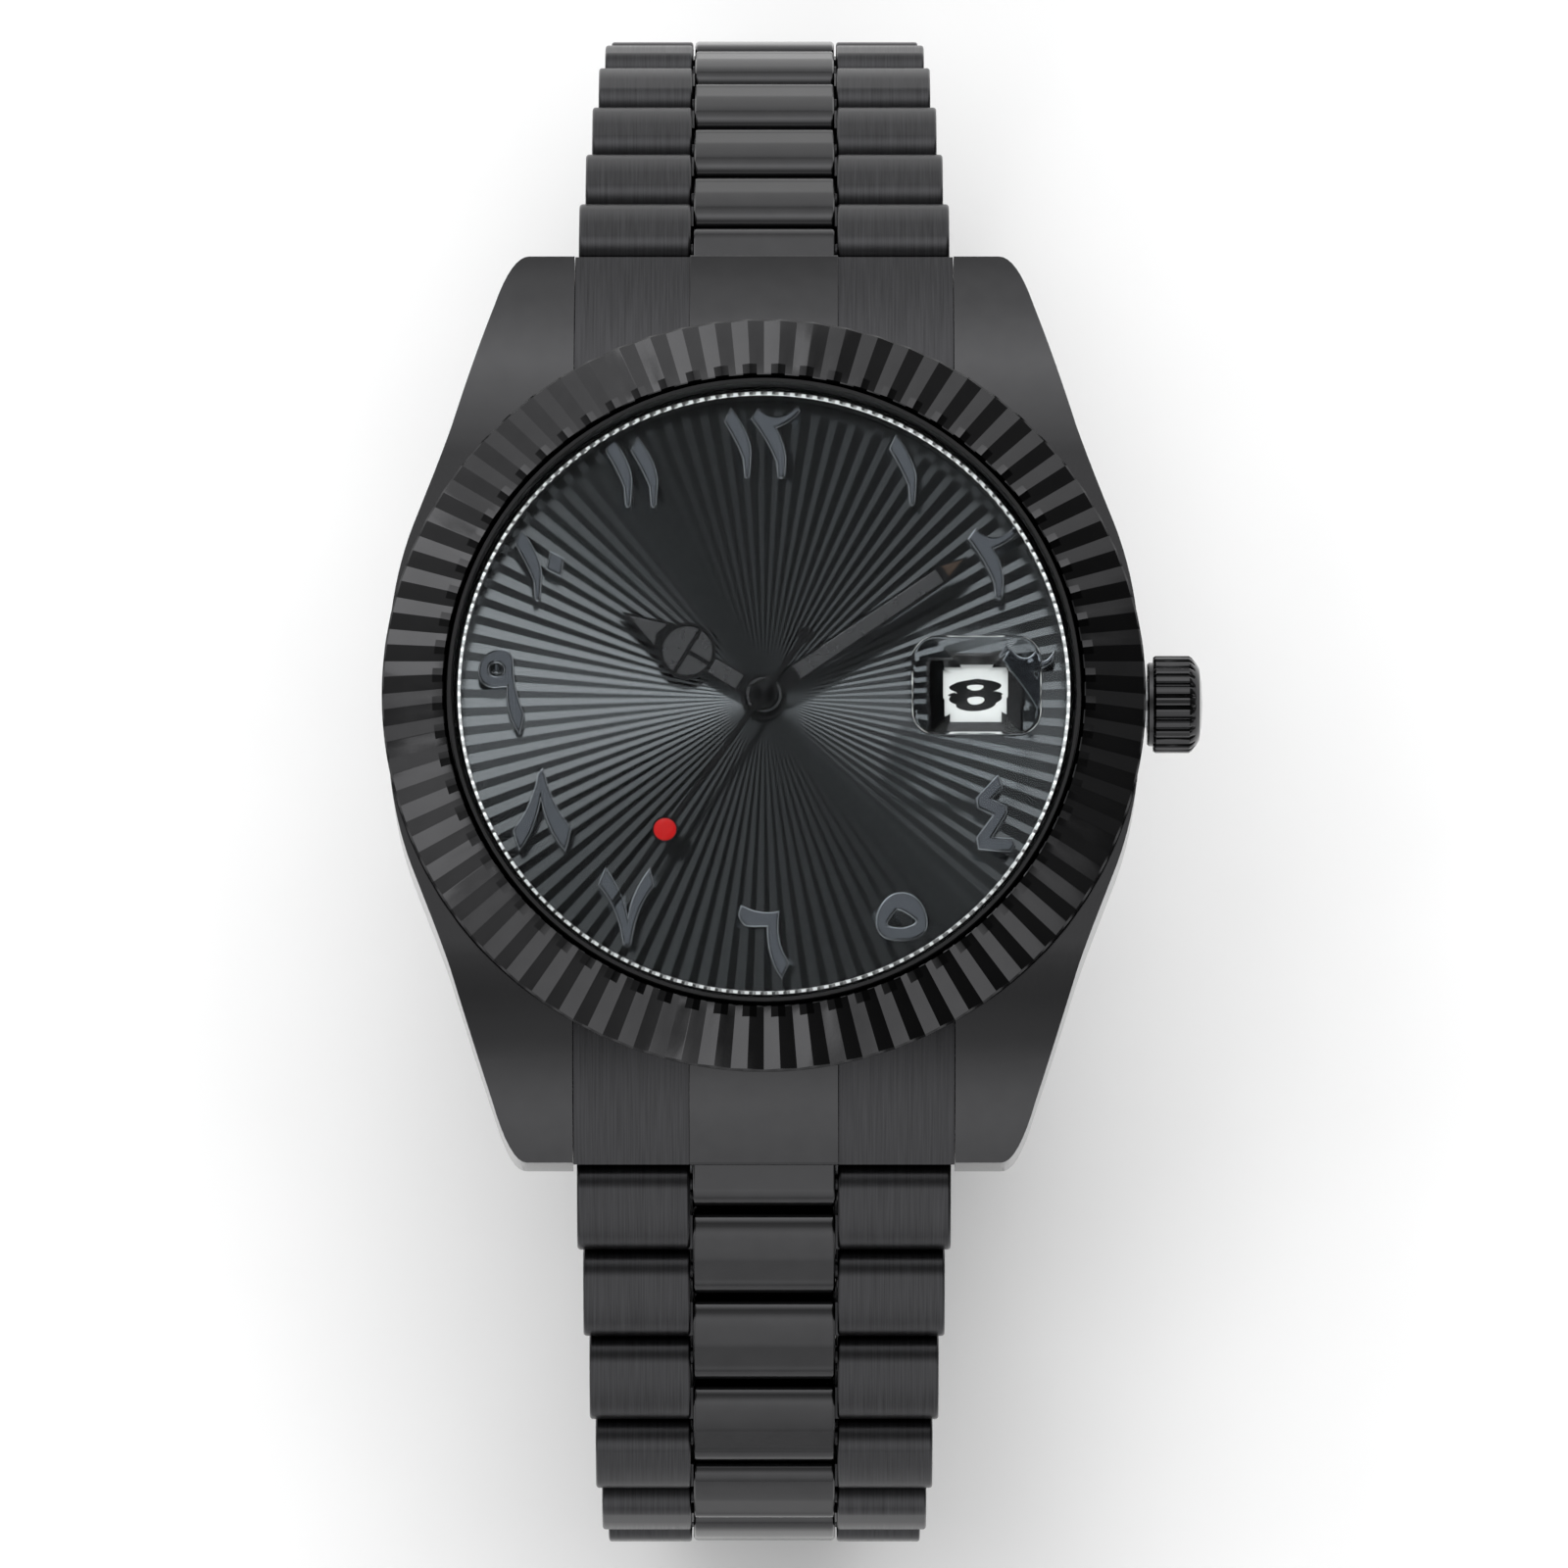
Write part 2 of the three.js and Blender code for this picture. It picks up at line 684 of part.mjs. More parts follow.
// The 6 o'clock half is the 12 o'clock half turned half a turn about the vertical.
for (const [hour, tilts, pins, turn] of [
  ["12", TILTS_12, PINS_12, 0],
  ["6", TILTS_6, PINS_6, Math.PI],
]) {
  const half = new THREE.Group();
  half.rotation.z = turn;
  head.add(half);
  mesh("end_link_" + hour, endLink(), BLACK_BRUSHED, half);
  mesh("spring_bar_" + hour, springBar(), STEEL, half);
  tilts.forEach((tilt, i) => {
    const name = "link_" + hour + "_" + String(i + 1).padStart(2, "0");
    const node = mesh(name, link(LINK_HALF_WIDTHS[i]), BLACK_BRUSHED, half);
    node.position.set(0, pins[i].y, pins[i].z);
    node.rotation.x = -THREE.MathUtils.degToRad(tilt);
  });
}

// ---- folding clasp ----

// A channel that stands on its flat outer face. Its ears hold the last pin of the 12 o'clock half.
function claspCover() {
  const { y, z } = COVER_PIN;
  const ear = [
    ...arc([y, z], LINK_END_RADIUS, -100, 95, 8),
    [y - 2.2, z + 1.6],
    [y - 4.5, SKIRT_TOP],
    [y - 7, SKIRT_TOP],
    [y - 7, 0],
    [y - 2.1, 0],
  ];
  const web = [
    [y - LINK_FACE, 0.8],
    [y - LINK_FACE, 2.4],
    [y - 3.2, 2.4],
    [y - 3.8, 0.6],
    [y - 3.8, 0],
    [y - 2.1, 0],
  ];
  const base = box([-CLASP_HALF_WIDTH, CLASP_END, 0], [CLASP_HALF_WIDTH, y - 2.1, CLASP_PLATE]);
  const skirt = (side) =>
    box(
      [side > 0 ? SKIRT_INNER : -CLASP_HALF_WIDTH, CLASP_END, 0],
      [side > 0 ? CLASP_HALF_WIDTH : -SKIRT_INNER, y - 4, SKIRT_TOP],
    );
  const slot = box([-9, BUTTON.y - 1.85, BUTTON.z - 1], [9, BUTTON.y + 1.85, BUTTON.z + 1]);
  const earInner = section(ear, -SKIRT_INNER, SKIRT_INNER).intersect(
    box([-9, y - 3.2, 0], [9, y + 2, 6]),
  );
  const earRoom = box([-OUTER_INNER, y - 8, -1], [OUTER_INNER, y + 2, 6]);
  return base
    .add(skirt(1))
    .add(skirt(-1))
    .add(mirroredSection(ear, SKIRT_INNER, CLASP_HALF_WIDTH))
    .add(earInner.subtract(earRoom))
    .add(section(web, -OUTER_INNER - 0.1, OUTER_INNER + 0.1))
    .add(barX(PIN_RADIUS, -OUTER_INNER - 0.5, OUTER_INNER + 0.5, 8, y, z))
    .subtract(slot)
    .add(base)
    .add(barX(PIN_RADIUS, -SKIRT_INNER - 0.5, SKIRT_INNER + 0.5, 8, BLADE_PIN.y, BLADE_PIN.z));
}

// Two rails joined by the hinge tube in the cover and by the fold pin at the other end.
function longBlade() {
  const rail = [
    [BLADE_PIN.y, BLADE_PIN.z - 0.5],
    ...arc([FOLD_PIN.y, FOLD_PIN.z], 1.15, -100, 100, 8),
    [13, 3.1],
    [BLADE_PIN.y, BLADE_PIN.z + 0.5],
  ];
  return mirroredSection(rail, 4.65, 6.6)
    .add(barX(1.15, -6.6, 6.6, 14, BLADE_PIN.y, BLADE_PIN.z))
    .add(barX(PIN_RADIUS, -5, 5, 8, FOLD_PIN.y, FOLD_PIN.z))
    .subtract(barX(PIN_HOLE, -8, 8, 8, BLADE_PIN.y, BLADE_PIN.z));
}

// A bowed strip from the fold pin, over the hinge tube, to the two ears at the last link's tongue.
function shortBlade() {
  const { y, z } = BLADE_END_PIN;
  const strip = [
    ...arc([FOLD_PIN.y, FOLD_PIN.z], 1.1, 80, -80, 7),
    [14, 2.2],
    [0, 3.35],
    [-10, 4.15],
    [y + LINK_FACE + 0.1, z - 0.75],
    [y + LINK_FACE + 0.1, z + 0.35],
    [-10, 5.05],
    [0, 4.2],
    [13.5, 3.5],
  ];
  const ear = [
    ...arc([y, z], LINK_END_RADIUS, 85, 265, 8),
    [y + LINK_FACE + 2.4, z - 0.95],
    [y + LINK_FACE + 2.4, z + 0.2],
  ];
  return section(strip, -4.35, 4.35)
    .add(mirroredSection(ear, OUTER_INNER, 5.3))
    .subtract(barX(PIN_HOLE, -6, 6, 8, FOLD_PIN.y, FOLD_PIN.z))
    .subtract(barX(0.45, -6, 6, 8, y, z));
}

const BUTTON = { y: 6, z: 2.7, inner: 7.45, outer: 8.9 };
const button = (from, to) =>
  box([from, BUTTON.y - 1.7, BUTTON.z - 0.85], [to, BUTTON.y + 1.7, BUTTON.z + 0.85]);

mesh("clasp_cover", claspCover(), BLACK_BRUSHED, watch);
mesh("clasp_long_blade", longBlade(), STEEL, watch);
mesh("clasp_short_blade", shortBlade(), STEEL, watch);
mesh("clasp_button_right", button(BUTTON.inner, BUTTON.outer), BLACK_POLISHED, watch);
mesh("clasp_button_left", button(-BUTTON.outer, -BUTTON.inner), BLACK_POLISHED, watch);
mesh(
  "clasp_spring_bar",
  barX(0.5, -CENTRE_HALF, CENTRE_HALF, 8, BLADE_END_PIN.y, BLADE_END_PIN.z),
  STEEL,
  watch,
);

export default watch;
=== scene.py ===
"""The looks of a black coated wristwatch with a pleated dial and a three-row link bracelet."""

import json
import math

import bmesh
import bpy
import numpy as np
from mathutils import Matrix, Vector


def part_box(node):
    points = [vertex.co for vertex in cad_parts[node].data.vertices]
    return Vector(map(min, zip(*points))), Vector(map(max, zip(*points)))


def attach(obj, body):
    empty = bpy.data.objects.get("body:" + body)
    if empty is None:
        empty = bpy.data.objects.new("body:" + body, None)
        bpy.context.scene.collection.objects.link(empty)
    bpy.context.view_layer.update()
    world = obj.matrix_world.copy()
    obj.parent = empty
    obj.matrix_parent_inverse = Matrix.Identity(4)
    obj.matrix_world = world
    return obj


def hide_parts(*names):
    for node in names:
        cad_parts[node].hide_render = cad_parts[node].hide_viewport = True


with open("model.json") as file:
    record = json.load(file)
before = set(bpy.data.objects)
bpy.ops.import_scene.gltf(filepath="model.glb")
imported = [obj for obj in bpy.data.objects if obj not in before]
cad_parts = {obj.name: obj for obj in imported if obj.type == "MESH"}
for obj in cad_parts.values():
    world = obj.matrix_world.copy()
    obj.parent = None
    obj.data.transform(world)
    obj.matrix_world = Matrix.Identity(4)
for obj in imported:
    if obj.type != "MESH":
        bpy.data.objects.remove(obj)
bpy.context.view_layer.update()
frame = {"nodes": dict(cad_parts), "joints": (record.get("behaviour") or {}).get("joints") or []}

# Shapes are drawn in millimetres and turned to metres once, when a piece is finished.
MM = 0.001

# The winding stem's axis is level with the middle of the case: heights in the head count from it.
STEM = sum(corner.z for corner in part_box("winding_stem")) / 2 / MM

BEZEL_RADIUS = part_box("bezel")[1].x / MM
DIAL_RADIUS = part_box("dial")[1].x / MM
FLUTES = 72
PLEATS = 98
COIN_TEETH = 168
CROWN_RIDGES = 26
KEY_NOTCHES = 12
DATES = 31
WINDOW_X = sum(corner.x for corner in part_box("date_lens")) / 2 / MM
# the date sits a little above the middle of its window, where the lens shows it from a wearer's eye
DATE_RISE = 0.45


# ---- nodes ----


def put(tree, kind, wires=None, **settings):
    """Adds a node: settings are its properties, and wires its inputs' values or what they read.

    A wire is an output, or a node for its first output.
    """
    node = tree.nodes.new(kind)
    for key, value in settings.items():
        setattr(node, key, value)
    for key, source in (wires or {}).items():
        if isinstance(source, bpy.types.Node):
            source = source.outputs[0]
        if isinstance(source, bpy.types.NodeSocket):
            tree.links.new(source, node.inputs[key])
        else:
            node.inputs[key].default_value = source
    return node


def colour(code):
    """An sRGB hex value as linear red, green, blue and alpha."""
    parts = [int(code[i : i + 2], 16) / 255 for i in (1, 3, 5)]
    return [c / 12.92 if c <= 0.04045 else ((c + 0.055) / 1.055) ** 2.4 for c in parts] + [1.0]


def tree_of(name, sockets):
    """An empty geometry tree with these named inputs, and the outputs that they are read from."""
    tree = bpy.data.node_groups.new(name, "GeometryNodeTree")
    tree.interface.new_socket("Geometry", in_out="INPUT", socket_type="NodeSocketGeometry")
    for title, kind in sockets.items():
        tree.interface.new_socket(title, in_out="INPUT", socket_type="NodeSocket" + kind)
    tree.interface.new_socket("Geometry", in_out="OUTPUT", socket_type="NodeSocketGeometry")
    return tree, put(tree, "NodeGroupInput").outputs


# ---- finishes ----


def surface(name):
    """A new material: its tree, its Principled shader and its Object coordinates."""
    finish = bpy.data.materials.new(name)
    finish.use_nodes = True
    tree = finish.node_tree
    tree.nodes.clear()
    shader = put(tree, "ShaderNodeBsdfPrincipled")
    put(tree, "ShaderNodeOutputMaterial", {"Surface": shader})
    return finish, tree, shader, put(tree, "ShaderNodeTexCoord").outputs["Object"]


def shaded(tree, shader, share, tones, gloss):
    """Colour between two tones and roughness between two values both follow a share from 0 to 1."""
    ends = {"Factor": share, 6: colour(tones[0]), 7: colour(tones[1])}
    mix = put(tree, "ShaderNodeMix", ends, data_type="RGBA")
    tree.links.new(mix.outputs[2], shader.inputs["Base Color"])
    span = {"Value": share, "To Min": gloss[0], "To Max": gloss[1]}
    rough = put(tree, "ShaderNodeMapRange", span)
    tree.links.new(rough.outputs[0], shader.inputs["Roughness"])


def dent(tree, shader, height, distance, strength=1.0):
    """Bump of a real depth in metres."""
    depth = {"Height": height, "Distance": distance, "Strength": strength}
    bump = put(tree, "ShaderNodeBump", depth)
    tree.links.new(bump.outputs[0], shader.inputs["Normal"])


METAL = {"Metallic": 1.0}


def grained(name, scale, detail, tones, gloss, values, lay=None, bump=None):
    """A finish that follows one noise: a lay stretches it, and bump is its depth and strength."""
    finish, tree, shader, place = surface(name)
    if lay:
        place = put(tree, "ShaderNodeMapping", {"Vector": place, "Scale": lay})
    grain = put(tree, "ShaderNodeTexNoise", {"Vector": place, "Scale": scale, "Detail": detail})
    shaded(tree, shader, grain.outputs[0], tones, gloss)
    for socket, value in values.items():
        shader.inputs[socket].default_value = value
    if bump:
        dent(tree, shader, grain, *bump)
    return finish


def polished_black_coating():
    """Vapour-deposited black on polished steel: a dark mirror with the faint haze of buffing."""
    finish, tree, shader, place = surface("black vapour-coated steel, polished")
    haze = put(tree, "ShaderNodeTexNoise", {"Vector": place, "Scale": 900.0, "Detail": 3.0})
    shaded(tree, shader, haze.outputs[0], ("#3b3b3c", "#414142"), (0.12, 0.18))
    shader.inputs["Metallic"].default_value = 1.0
    # buffing swirls are 0.2 mm apart
    swirl = put(tree, "ShaderNodeTexNoise", {"Vector": place, "Scale": 5000.0, "Detail": 1.0})
    dent(tree, shader, swirl, 0.000002, 0.4)
    return finish


def sunray_lacquer(name, tones):
    """Black lacquer over a pressed, sunray-ground dial: satin flanks flash grey in the light."""
    finish, tree, shader, place = surface(name)
    axes = put(tree, "ShaderNodeSeparateXYZ", {"Vector": place})
    reach = {0: axes.outputs["Y"], 1: axes.outputs["X"]}
    angle = put(tree, "ShaderNodeMath", reach, operation="ARCTAN2")
    # ground lines are 0.1 mm apart at the rim, so about 900 in a turn
    fan = put(tree, "ShaderNodeCombineXYZ", {"X": angle})
    grain = put(tree, "ShaderNodeTexNoise", {"Vector": fan, "Scale": 150.0, "Detail": 2.0})
    shaded(tree, shader, grain.outputs[0], tones, (0.15, 0.21))
    shader.inputs["Metallic"].default_value = 1.0
    return finish


def pearled_brass():
    """Gilt brass with overlapping ground circles 0.9 mm apart, as watch plates have."""
    finish, tree, shader, place = surface("gilt brass, circular grained")
    circles = {"Vector": place, "Scale": 1100.0, "Randomness": 0.15}
    cells = put(tree, "ShaderNodeTexVoronoi", circles)
    shaded(tree, shader, cells.outputs["Distance"], ("#8f7335", "#c8a860"), (0.22, 0.42))
    shader.inputs["Metallic"].default_value = 1.0
    return finish


def sapphire(name, tint, haze):
    """Polished sapphire with the faintest haze of wiping."""
    finish, tree, shader, place = surface(name)
    smear = put(tree, "ShaderNodeTexNoise", {"Vector": place, "Scale": 120.0, "Detail": 2.0})
    rough = put(tree, "ShaderNodeMapRange", {"Value": smear, "To Min": 0.0, "To Max": haze})
    tree.links.new(rough.outputs[0], shader.inputs["Roughness"])
    shader.inputs["Base Color"].default_value = colour(tint)
    return finish, tree, shader


def blended(tree, share, first, second):
    """Sends a mix of two shaders to the output."""
    both = put(tree, "ShaderNodeMixShader", {0: share, 1: first, 2: second})
    out = next(n for n in tree.nodes if n.type == "OUTPUT_MATERIAL")
    tree.links.new(both.outputs[0], out.inputs["Surface"])


def coated_sapphire():
    """Flat sapphire, anti-reflection coated: clear from the front, a mirror at a glancing angle."""
    finish, tree, shader = sapphire("sapphire crystal, anti-reflection coated", "#f4f8fa", 0.02)
    shader.inputs["Metallic"].default_value = 1.0
    # three parts in a thousand are reflected head on, and more at a glancing angle
    facing = put(tree, "ShaderNodeLayerWeight", {"Blend": 0.5}).outputs["Facing"]
    power = put(tree, "ShaderNodeMath", {0: facing, 1: 5.0}, operation="POWER")
    edge = put(tree, "ShaderNodeMath", {0: power, 1: 0.5, 2: 0.003}, operation="MULTIPLY_ADD")
    clear = put(tree, "ShaderNodeBsdfTransparent", {"Color": colour("#fcfdfd")})
    blended(tree, edge, clear, shader)
    return finish


def sapphire_lens():
    """Clear polished sapphire that bends light, so that the date looks larger through it."""
    finish, tree, shader = sapphire("sapphire date lens", "#fbfdfe", 0.01)
    shader.inputs["Transmission Weight"].default_value = 1.0
    shader.inputs["IOR"].default_value = 1.52
    # an anti-reflection coating takes nine tenths of the glare off
    shader.inputs["Specular Tint"].default_value = colour("#595959")
    clear = put(tree, "ShaderNodeBsdfTransparent")
    ray = put(tree, "ShaderNodeLightPath")
    blended(tree, ray.outputs["Is Shadow Ray"], shader, clear)
    return finish


BLACK = polished_black_coating()
# Vapour-deposited black over brushed steel: long scratches about 0.08 mm apart scatter light across
# them, and over satin steel they run every way.
BRUSHED, SATIN = (
    grained(name, 1.0, 4.0, ("#2b2b2c", "#4b4b4d"), (0.26, 0.42), METAL, lay, (0.00001, 0.55))
    for name, lay in (
        ("black vapour-coated steel, brushed lengthwise", (11000.0, 260.0, 260.0)),
        ("black vapour-coated steel, satin", (3000.0, 3000.0, 3000.0)),
    )
)
DIAL = sunray_lacquer("black lacquered sunray dial brass", ("#595c5e", "#66696c"))
# a darker copy of the dial lacquer: painted shade for the steeper flank of each pleat, so that
# neighbouring flanks read light and dark
PAINTED_SHADE_LACQUER = sunray_lacquer("dial lacquer darkened as painted shade on every other flank", ("#505355", "#5b5e61"))
# Polished metal under a thin tinted plating: even, with a slight cloud in its gloss.
NUMERAL, CUT, HAND, TIP, EDGE, BRIGHT = (
    grained(name, 1500.0, 2.0, tones, gloss, METAL)
    for name, tones, gloss in (
        ("black nickel plated numeral", ("#484b50", "#54585e"), (0.1, 0.16)),
        ("diamond cut numeral edge", ("#94989d", "#a6aaaf"), (0.2, 0.3)),
        ("satin grey hand fill", ("#505052", "#5a5a5c"), (0.24, 0.32)),
        ("bronze tinted hand tip", ("#4a3f37", "#574a41"), (0.2, 0.3)),
        ("polished dark edge", ("#151516", "#1d1d1e"), (0.1, 0.18)),
        ("bright coin-edged steel", ("#f2f3f4", "#fafafa"), (0.14, 0.22)),
    )
)
# Fine-ground bare stainless steel: grey, with grinding lines about 0.1 mm apart along the part.
STEEL = grained(
    "fine-ground stainless steel",
    1.0,
    3.0,
    ("#a4a6a8", "#c9cbcd"),
    (0.22, 0.38),
    METAL,
    (9000.0, 500.0, 900.0),
    (0.00001, 0.3),
)
BRASS = pearled_brass()
# Moulded nitrile rubber: matt black with a fine mould texture.
RUBBER = grained(
    "moulded nitrile rubber",
    4000.0,
    2.0,
    ("#0f0f10", "#1b1b1c"),
    (0.6, 0.85),
    {"IOR": 1.52},
    bump=(0.00001,),
)
# Sprayed white lacquer: near even, with a faint orange peel 0.4 mm across.
WHITE = grained(
    "matt white lacquer",
    2500.0,
    1.0,
    ("#f1f1ef", "#fbfbf9"),
    (0.4, 0.55),
    {},
    bump=(0.000003, 0.3),
)
# Pad-printed or dropped lacquer: opaque and slightly glossy, thicker in places.
PRINT, RED = (
    grained(name, 2000.0, 1.0, tones, (0.28, 0.4), {"Specular IOR Level": 0.25})
    for name, tones in (
        ("black pad print", ("#0b0b0c", "#131314")),
        ("red dropped lacquer", ("#a60000", "#b80202")),
    )
)
# White painted board, a little uneven in its gloss.
BOARD = grained("white painted board", 90.0, 2.0, ("#f6f6f6", "#fafafa"), (0.7, 0.9), {})
SAPPHIRE = coated_sapphire()
LENS = sapphire_lens()


# ---- shapes ----


def arc(centre, radius, start, end, steps):
    """Points of an arc, from one angle to another in degrees."""
    angles = np.radians(np.linspace(start, end, steps + 1))
    return [(centre[0] + radius * math.cos(a), centre[1] + radius * math.sin(a)) for a in angles]


def bend(start, control, end, steps):
    """Points of a quadratic curve, its last point left out."""
    points = []
    for t in np.linspace(0, 1, steps, endpoint=False):
        points.append(
            tuple(
                (1 - t) ** 2 * start[k] + 2 * t * (1 - t) * control[k] + t**2 * end[k]
                for k in range(2)
            )
        )
    return points


def pen(path):
    """A closed outline: each pair is a corner, and four numbers are a curve's control and end."""
    points = [path[0]]
    for part in path[1:]:
        if len(part) == 4:
            points += bend(points[-1], part[:2], part[2:], 8)[1:] + [part[2:]]
        else:
            points.append(part)
    return points[:-1] if math.dist(points[0], points[-1]) < 1e-6 else points


def mesh_of(vertices, faces):
    mesh = bpy.data.meshes.new("drawn")
    mesh.from_pydata([tuple(v) for v in vertices], [], faces)
    return mesh


def opened(mesh):
    bm = bmesh.new()
    bm.from_mesh(mesh)
    return bm


def as_mesh(bm):
    mesh = bpy.data.meshes.new("made")
    bm.to_mesh(mesh)
    bm.free()
    return mesh


def tidied(bm):
    """Merged, with faces outwards, as a mesh."""
    bmesh.ops.remove_doubles(bm, verts=bm.verts, dist=1e-5)
    bmesh.ops.recalc_face_normals(bm, faces=bm.faces)
    return as_mesh(bm)


def softened(mesh, width, angle=32, segments=2):
    """Rounds every edge sharper than an angle, by a width in millimetres."""
    bm = opened(mesh)
    bmesh.ops.remove_doubles(bm, verts=bm.verts, dist=1e-4)
    bmesh.ops.dissolve_limit(bm, angle_limit=math.radians(0.4), verts=bm.verts, edges=bm.edges)
    turn = math.radians(angle)
    sharp = [e for e in bm.edges if len(e.link_faces) == 2 and e.calc_face_angle(0) > turn]
    bmesh.ops.bevel(
        bm,
        geom=sharp,
        offset=width,
        segments=segments,
        profile=0.5,
        affect="EDGES",
        clamp_overlap=True,
    )
    return tidied(bm)


def prism(outline, low, high, along="X"):
    """An outline drawn across one axis and pushed along it: (y, z) along X, or (x, y) along Z."""
    place = {"X": lambda u, v, w: (w, u, v), "Z": lambda u, v, w: (u, v, w)}[along]
    count = len(outline)
    vertices = [place(u, v, w) for w in (low, high) for u, v in outline]
    faces = [list(range(count)), list(range(count, 2 * count))]
    faces += [[i, (i + 1) % count, count + (i + 1) % count, count + i] for i in range(count)]
    return tidied(opened(mesh_of(vertices, faces)))


def box(low, high):
    outline = [(low[0], low[1]), (high[0], low[1]), (high[0], high[1]), (low[0], high[1])]
    return prism(outline, low[2], high[2], "Z")


def joined(*meshes):
    bm = bmesh.new()
    for mesh in meshes:
        bm.from_mesh(mesh)
    return as_mesh(bm)


def two_toned(first, second):
    """Joins two lists of meshes, the second list in the second finish."""
    mesh = joined(*first, *second)
    for polygon in mesh.polygons[sum(len(part.polygons) for part in first) :]:
        polygon.material_index = 1
    return mesh


def turned(profile, segments=96):
    """A profile of (radius, height) turned about the vertical."""
    rows = len(profile)
    vertices = []
    for angle in np.linspace(0, math.tau, segments, endpoint=False):
        vertices += [(r * math.cos(angle), r * math.sin(angle), z) for r, z in profile]
    faces = []
    for column in range(segments):
        here, there = column * rows, (column + 1) % segments * rows
        for row in range(rows):
            up = (row + 1) % rows
            faces.append([here + row, there + row, there + up, here + up])
    bm = opened(mesh_of(vertices, faces))
    bmesh.ops.remove_doubles(bm, verts=bm.verts, dist=1e-5)
    bmesh.ops.dissolve_degenerate(bm, edges=bm.edges, dist=1e-5)
    return tidied(bm)


def drum(radius, low, high, segments=96):
    return turned([(0, low), (radius, low), (radius, high), (0, high)], segments)


def laid(mesh, matrix):
    mesh = mesh.copy()
    mesh.transform(matrix)
    if matrix.determinant() < 0:
        mesh.flip_normals()
    return mesh


ABOUT_X = Matrix.Rotation(math.radians(90), 4, "Y")


def evaluated(thing):
    """The mesh that an object's modifiers, text or curve come out as. The object is removed."""
    bpy.context.view_layer.update()
    graph = bpy.context.evaluated_depsgraph_get()
    mesh = bpy.data.meshes.new_from_object(thing.evaluated_get(graph))
    bpy.data.objects.remove(thing)
    return mesh


def shown(name, data):
    thing = bpy.data.objects.new(name, data)
    bpy.context.scene.collection.objects.link(thing)
    return thing


def carved(mesh, *steps):
    """Cuts with booleans: each step is a tool to take away, or an operation and its tool."""
    work = shown("carving", mesh)
    tools = []
    for step in steps:
        operation, tool = step if isinstance(step, tuple) else ("DIFFERENCE", step)
        tools.append(shown("tool", tool))
        cut = work.modifiers.new("cut", "BOOLEAN")
        cut.operation = operation
        cut.solver = "EXACT"
        cut.object = tools[-1]
    made = evaluated(work)
    for tool in tools:
        bpy.data.objects.remove(tool)
    return made


def stamped(loops, low, high, edge, inset):
    """A plate cut to closed outlines, inner ones as holes, with a rim that slopes up."""
    drawn = bpy.data.curves.new("outline", "CURVE")
    drawn.dimensions = "2D"
    drawn.fill_mode = "BOTH"
    # it is drawn twice as thick and then flattened, which halves the slope of its rim
    drawn.extrude = high - low - edge
    drawn.bevel_depth = edge
    drawn.bevel_resolution = 0
    drawn.offset = -edge - inset
    for loop in loops:
        spline = drawn.splines.new("POLY")
        spline.points.add(len(loop) - 1)
        for point, (x, y) in zip(spline.points, loop):
            point.co = (x, y, 0, 1)
        spline.use_cyclic_u = True
    flat = evaluated(shown("outline", drawn))
    middle = Matrix.Translation((0, 0, (low + high) / 2))
    return laid(flat, middle @ Matrix.Diagonal((1, 1, 0.5, 1)))


def piece(name, mesh, body, finish, stands_for, lift=0.0, sharp=28):
    """Finishes a piece: metres, sharp edges by angle, finish, and the body that it rides on."""
    mesh.transform(Matrix.Scale(MM, 4) @ Matrix.Translation((0, 0, lift)))
    mesh.shade_smooth()
    mesh.set_sharp_from_angle(angle=math.radians(sharp))
    if finish:
        rows = [polygon.material_index for polygon in mesh.polygons]
        mesh.materials.clear()
        for one in finish if isinstance(finish, list) else [finish]:
            mesh.materials.append(one)
        mesh.polygons.foreach_set("material_index", rows)
    # wide faces keep their own normals, and the narrow bevels between them turn
    work = shown("shading", mesh)
    even = work.modifiers.new("even", "WEIGHTED_NORMAL")
    even.keep_sharp = True
    even.weight = 80
    mesh = evaluated(work)
    mesh.name = name
    thing = shown(name, mesh)
    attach(thing, body)
    if stands_for:
        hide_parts(stands_for)


# ---- geometry trees ----


def round_tree():
    """Copies one sector round the vertical and welds the copies into one skin."""
    tree, given = tree_of(
        "sectors round an axis",
        {"Count": "Int", "Weld": "Float", "Finish": "Material"},
    )
    points = put(tree, "GeometryNodePoints", {"Count": given["Count"]})
    index = put(tree, "GeometryNodeInputIndex")
    step = put(tree, "ShaderNodeMath", {0: math.tau, 1: given["Count"]}, operation="DIVIDE")
    angle = put(tree, "ShaderNodeMath", {0: step, 1: index}, operation="MULTIPLY")
    turn = put(tree, "ShaderNodeCombineXYZ", {"Z": angle})
    copies = put(
        tree,
        "GeometryNodeInstanceOnPoints",
        {"Points": points, "Instance": given["Geometry"], "Rotation": turn},
    )
    real = put(tree, "GeometryNodeRealizeInstances", {"Geometry": copies})
    weld = put(tree, "GeometryNodeMergeByDistance", {"Geometry": real, "Distance": given["Weld"]})
    dressed = put(tree, "GeometryNodeSetMaterial", {"Geometry": weld, "Material": given["Finish"]})
    put(tree, "NodeGroupOutput", {"Geometry": dressed})
    return tree


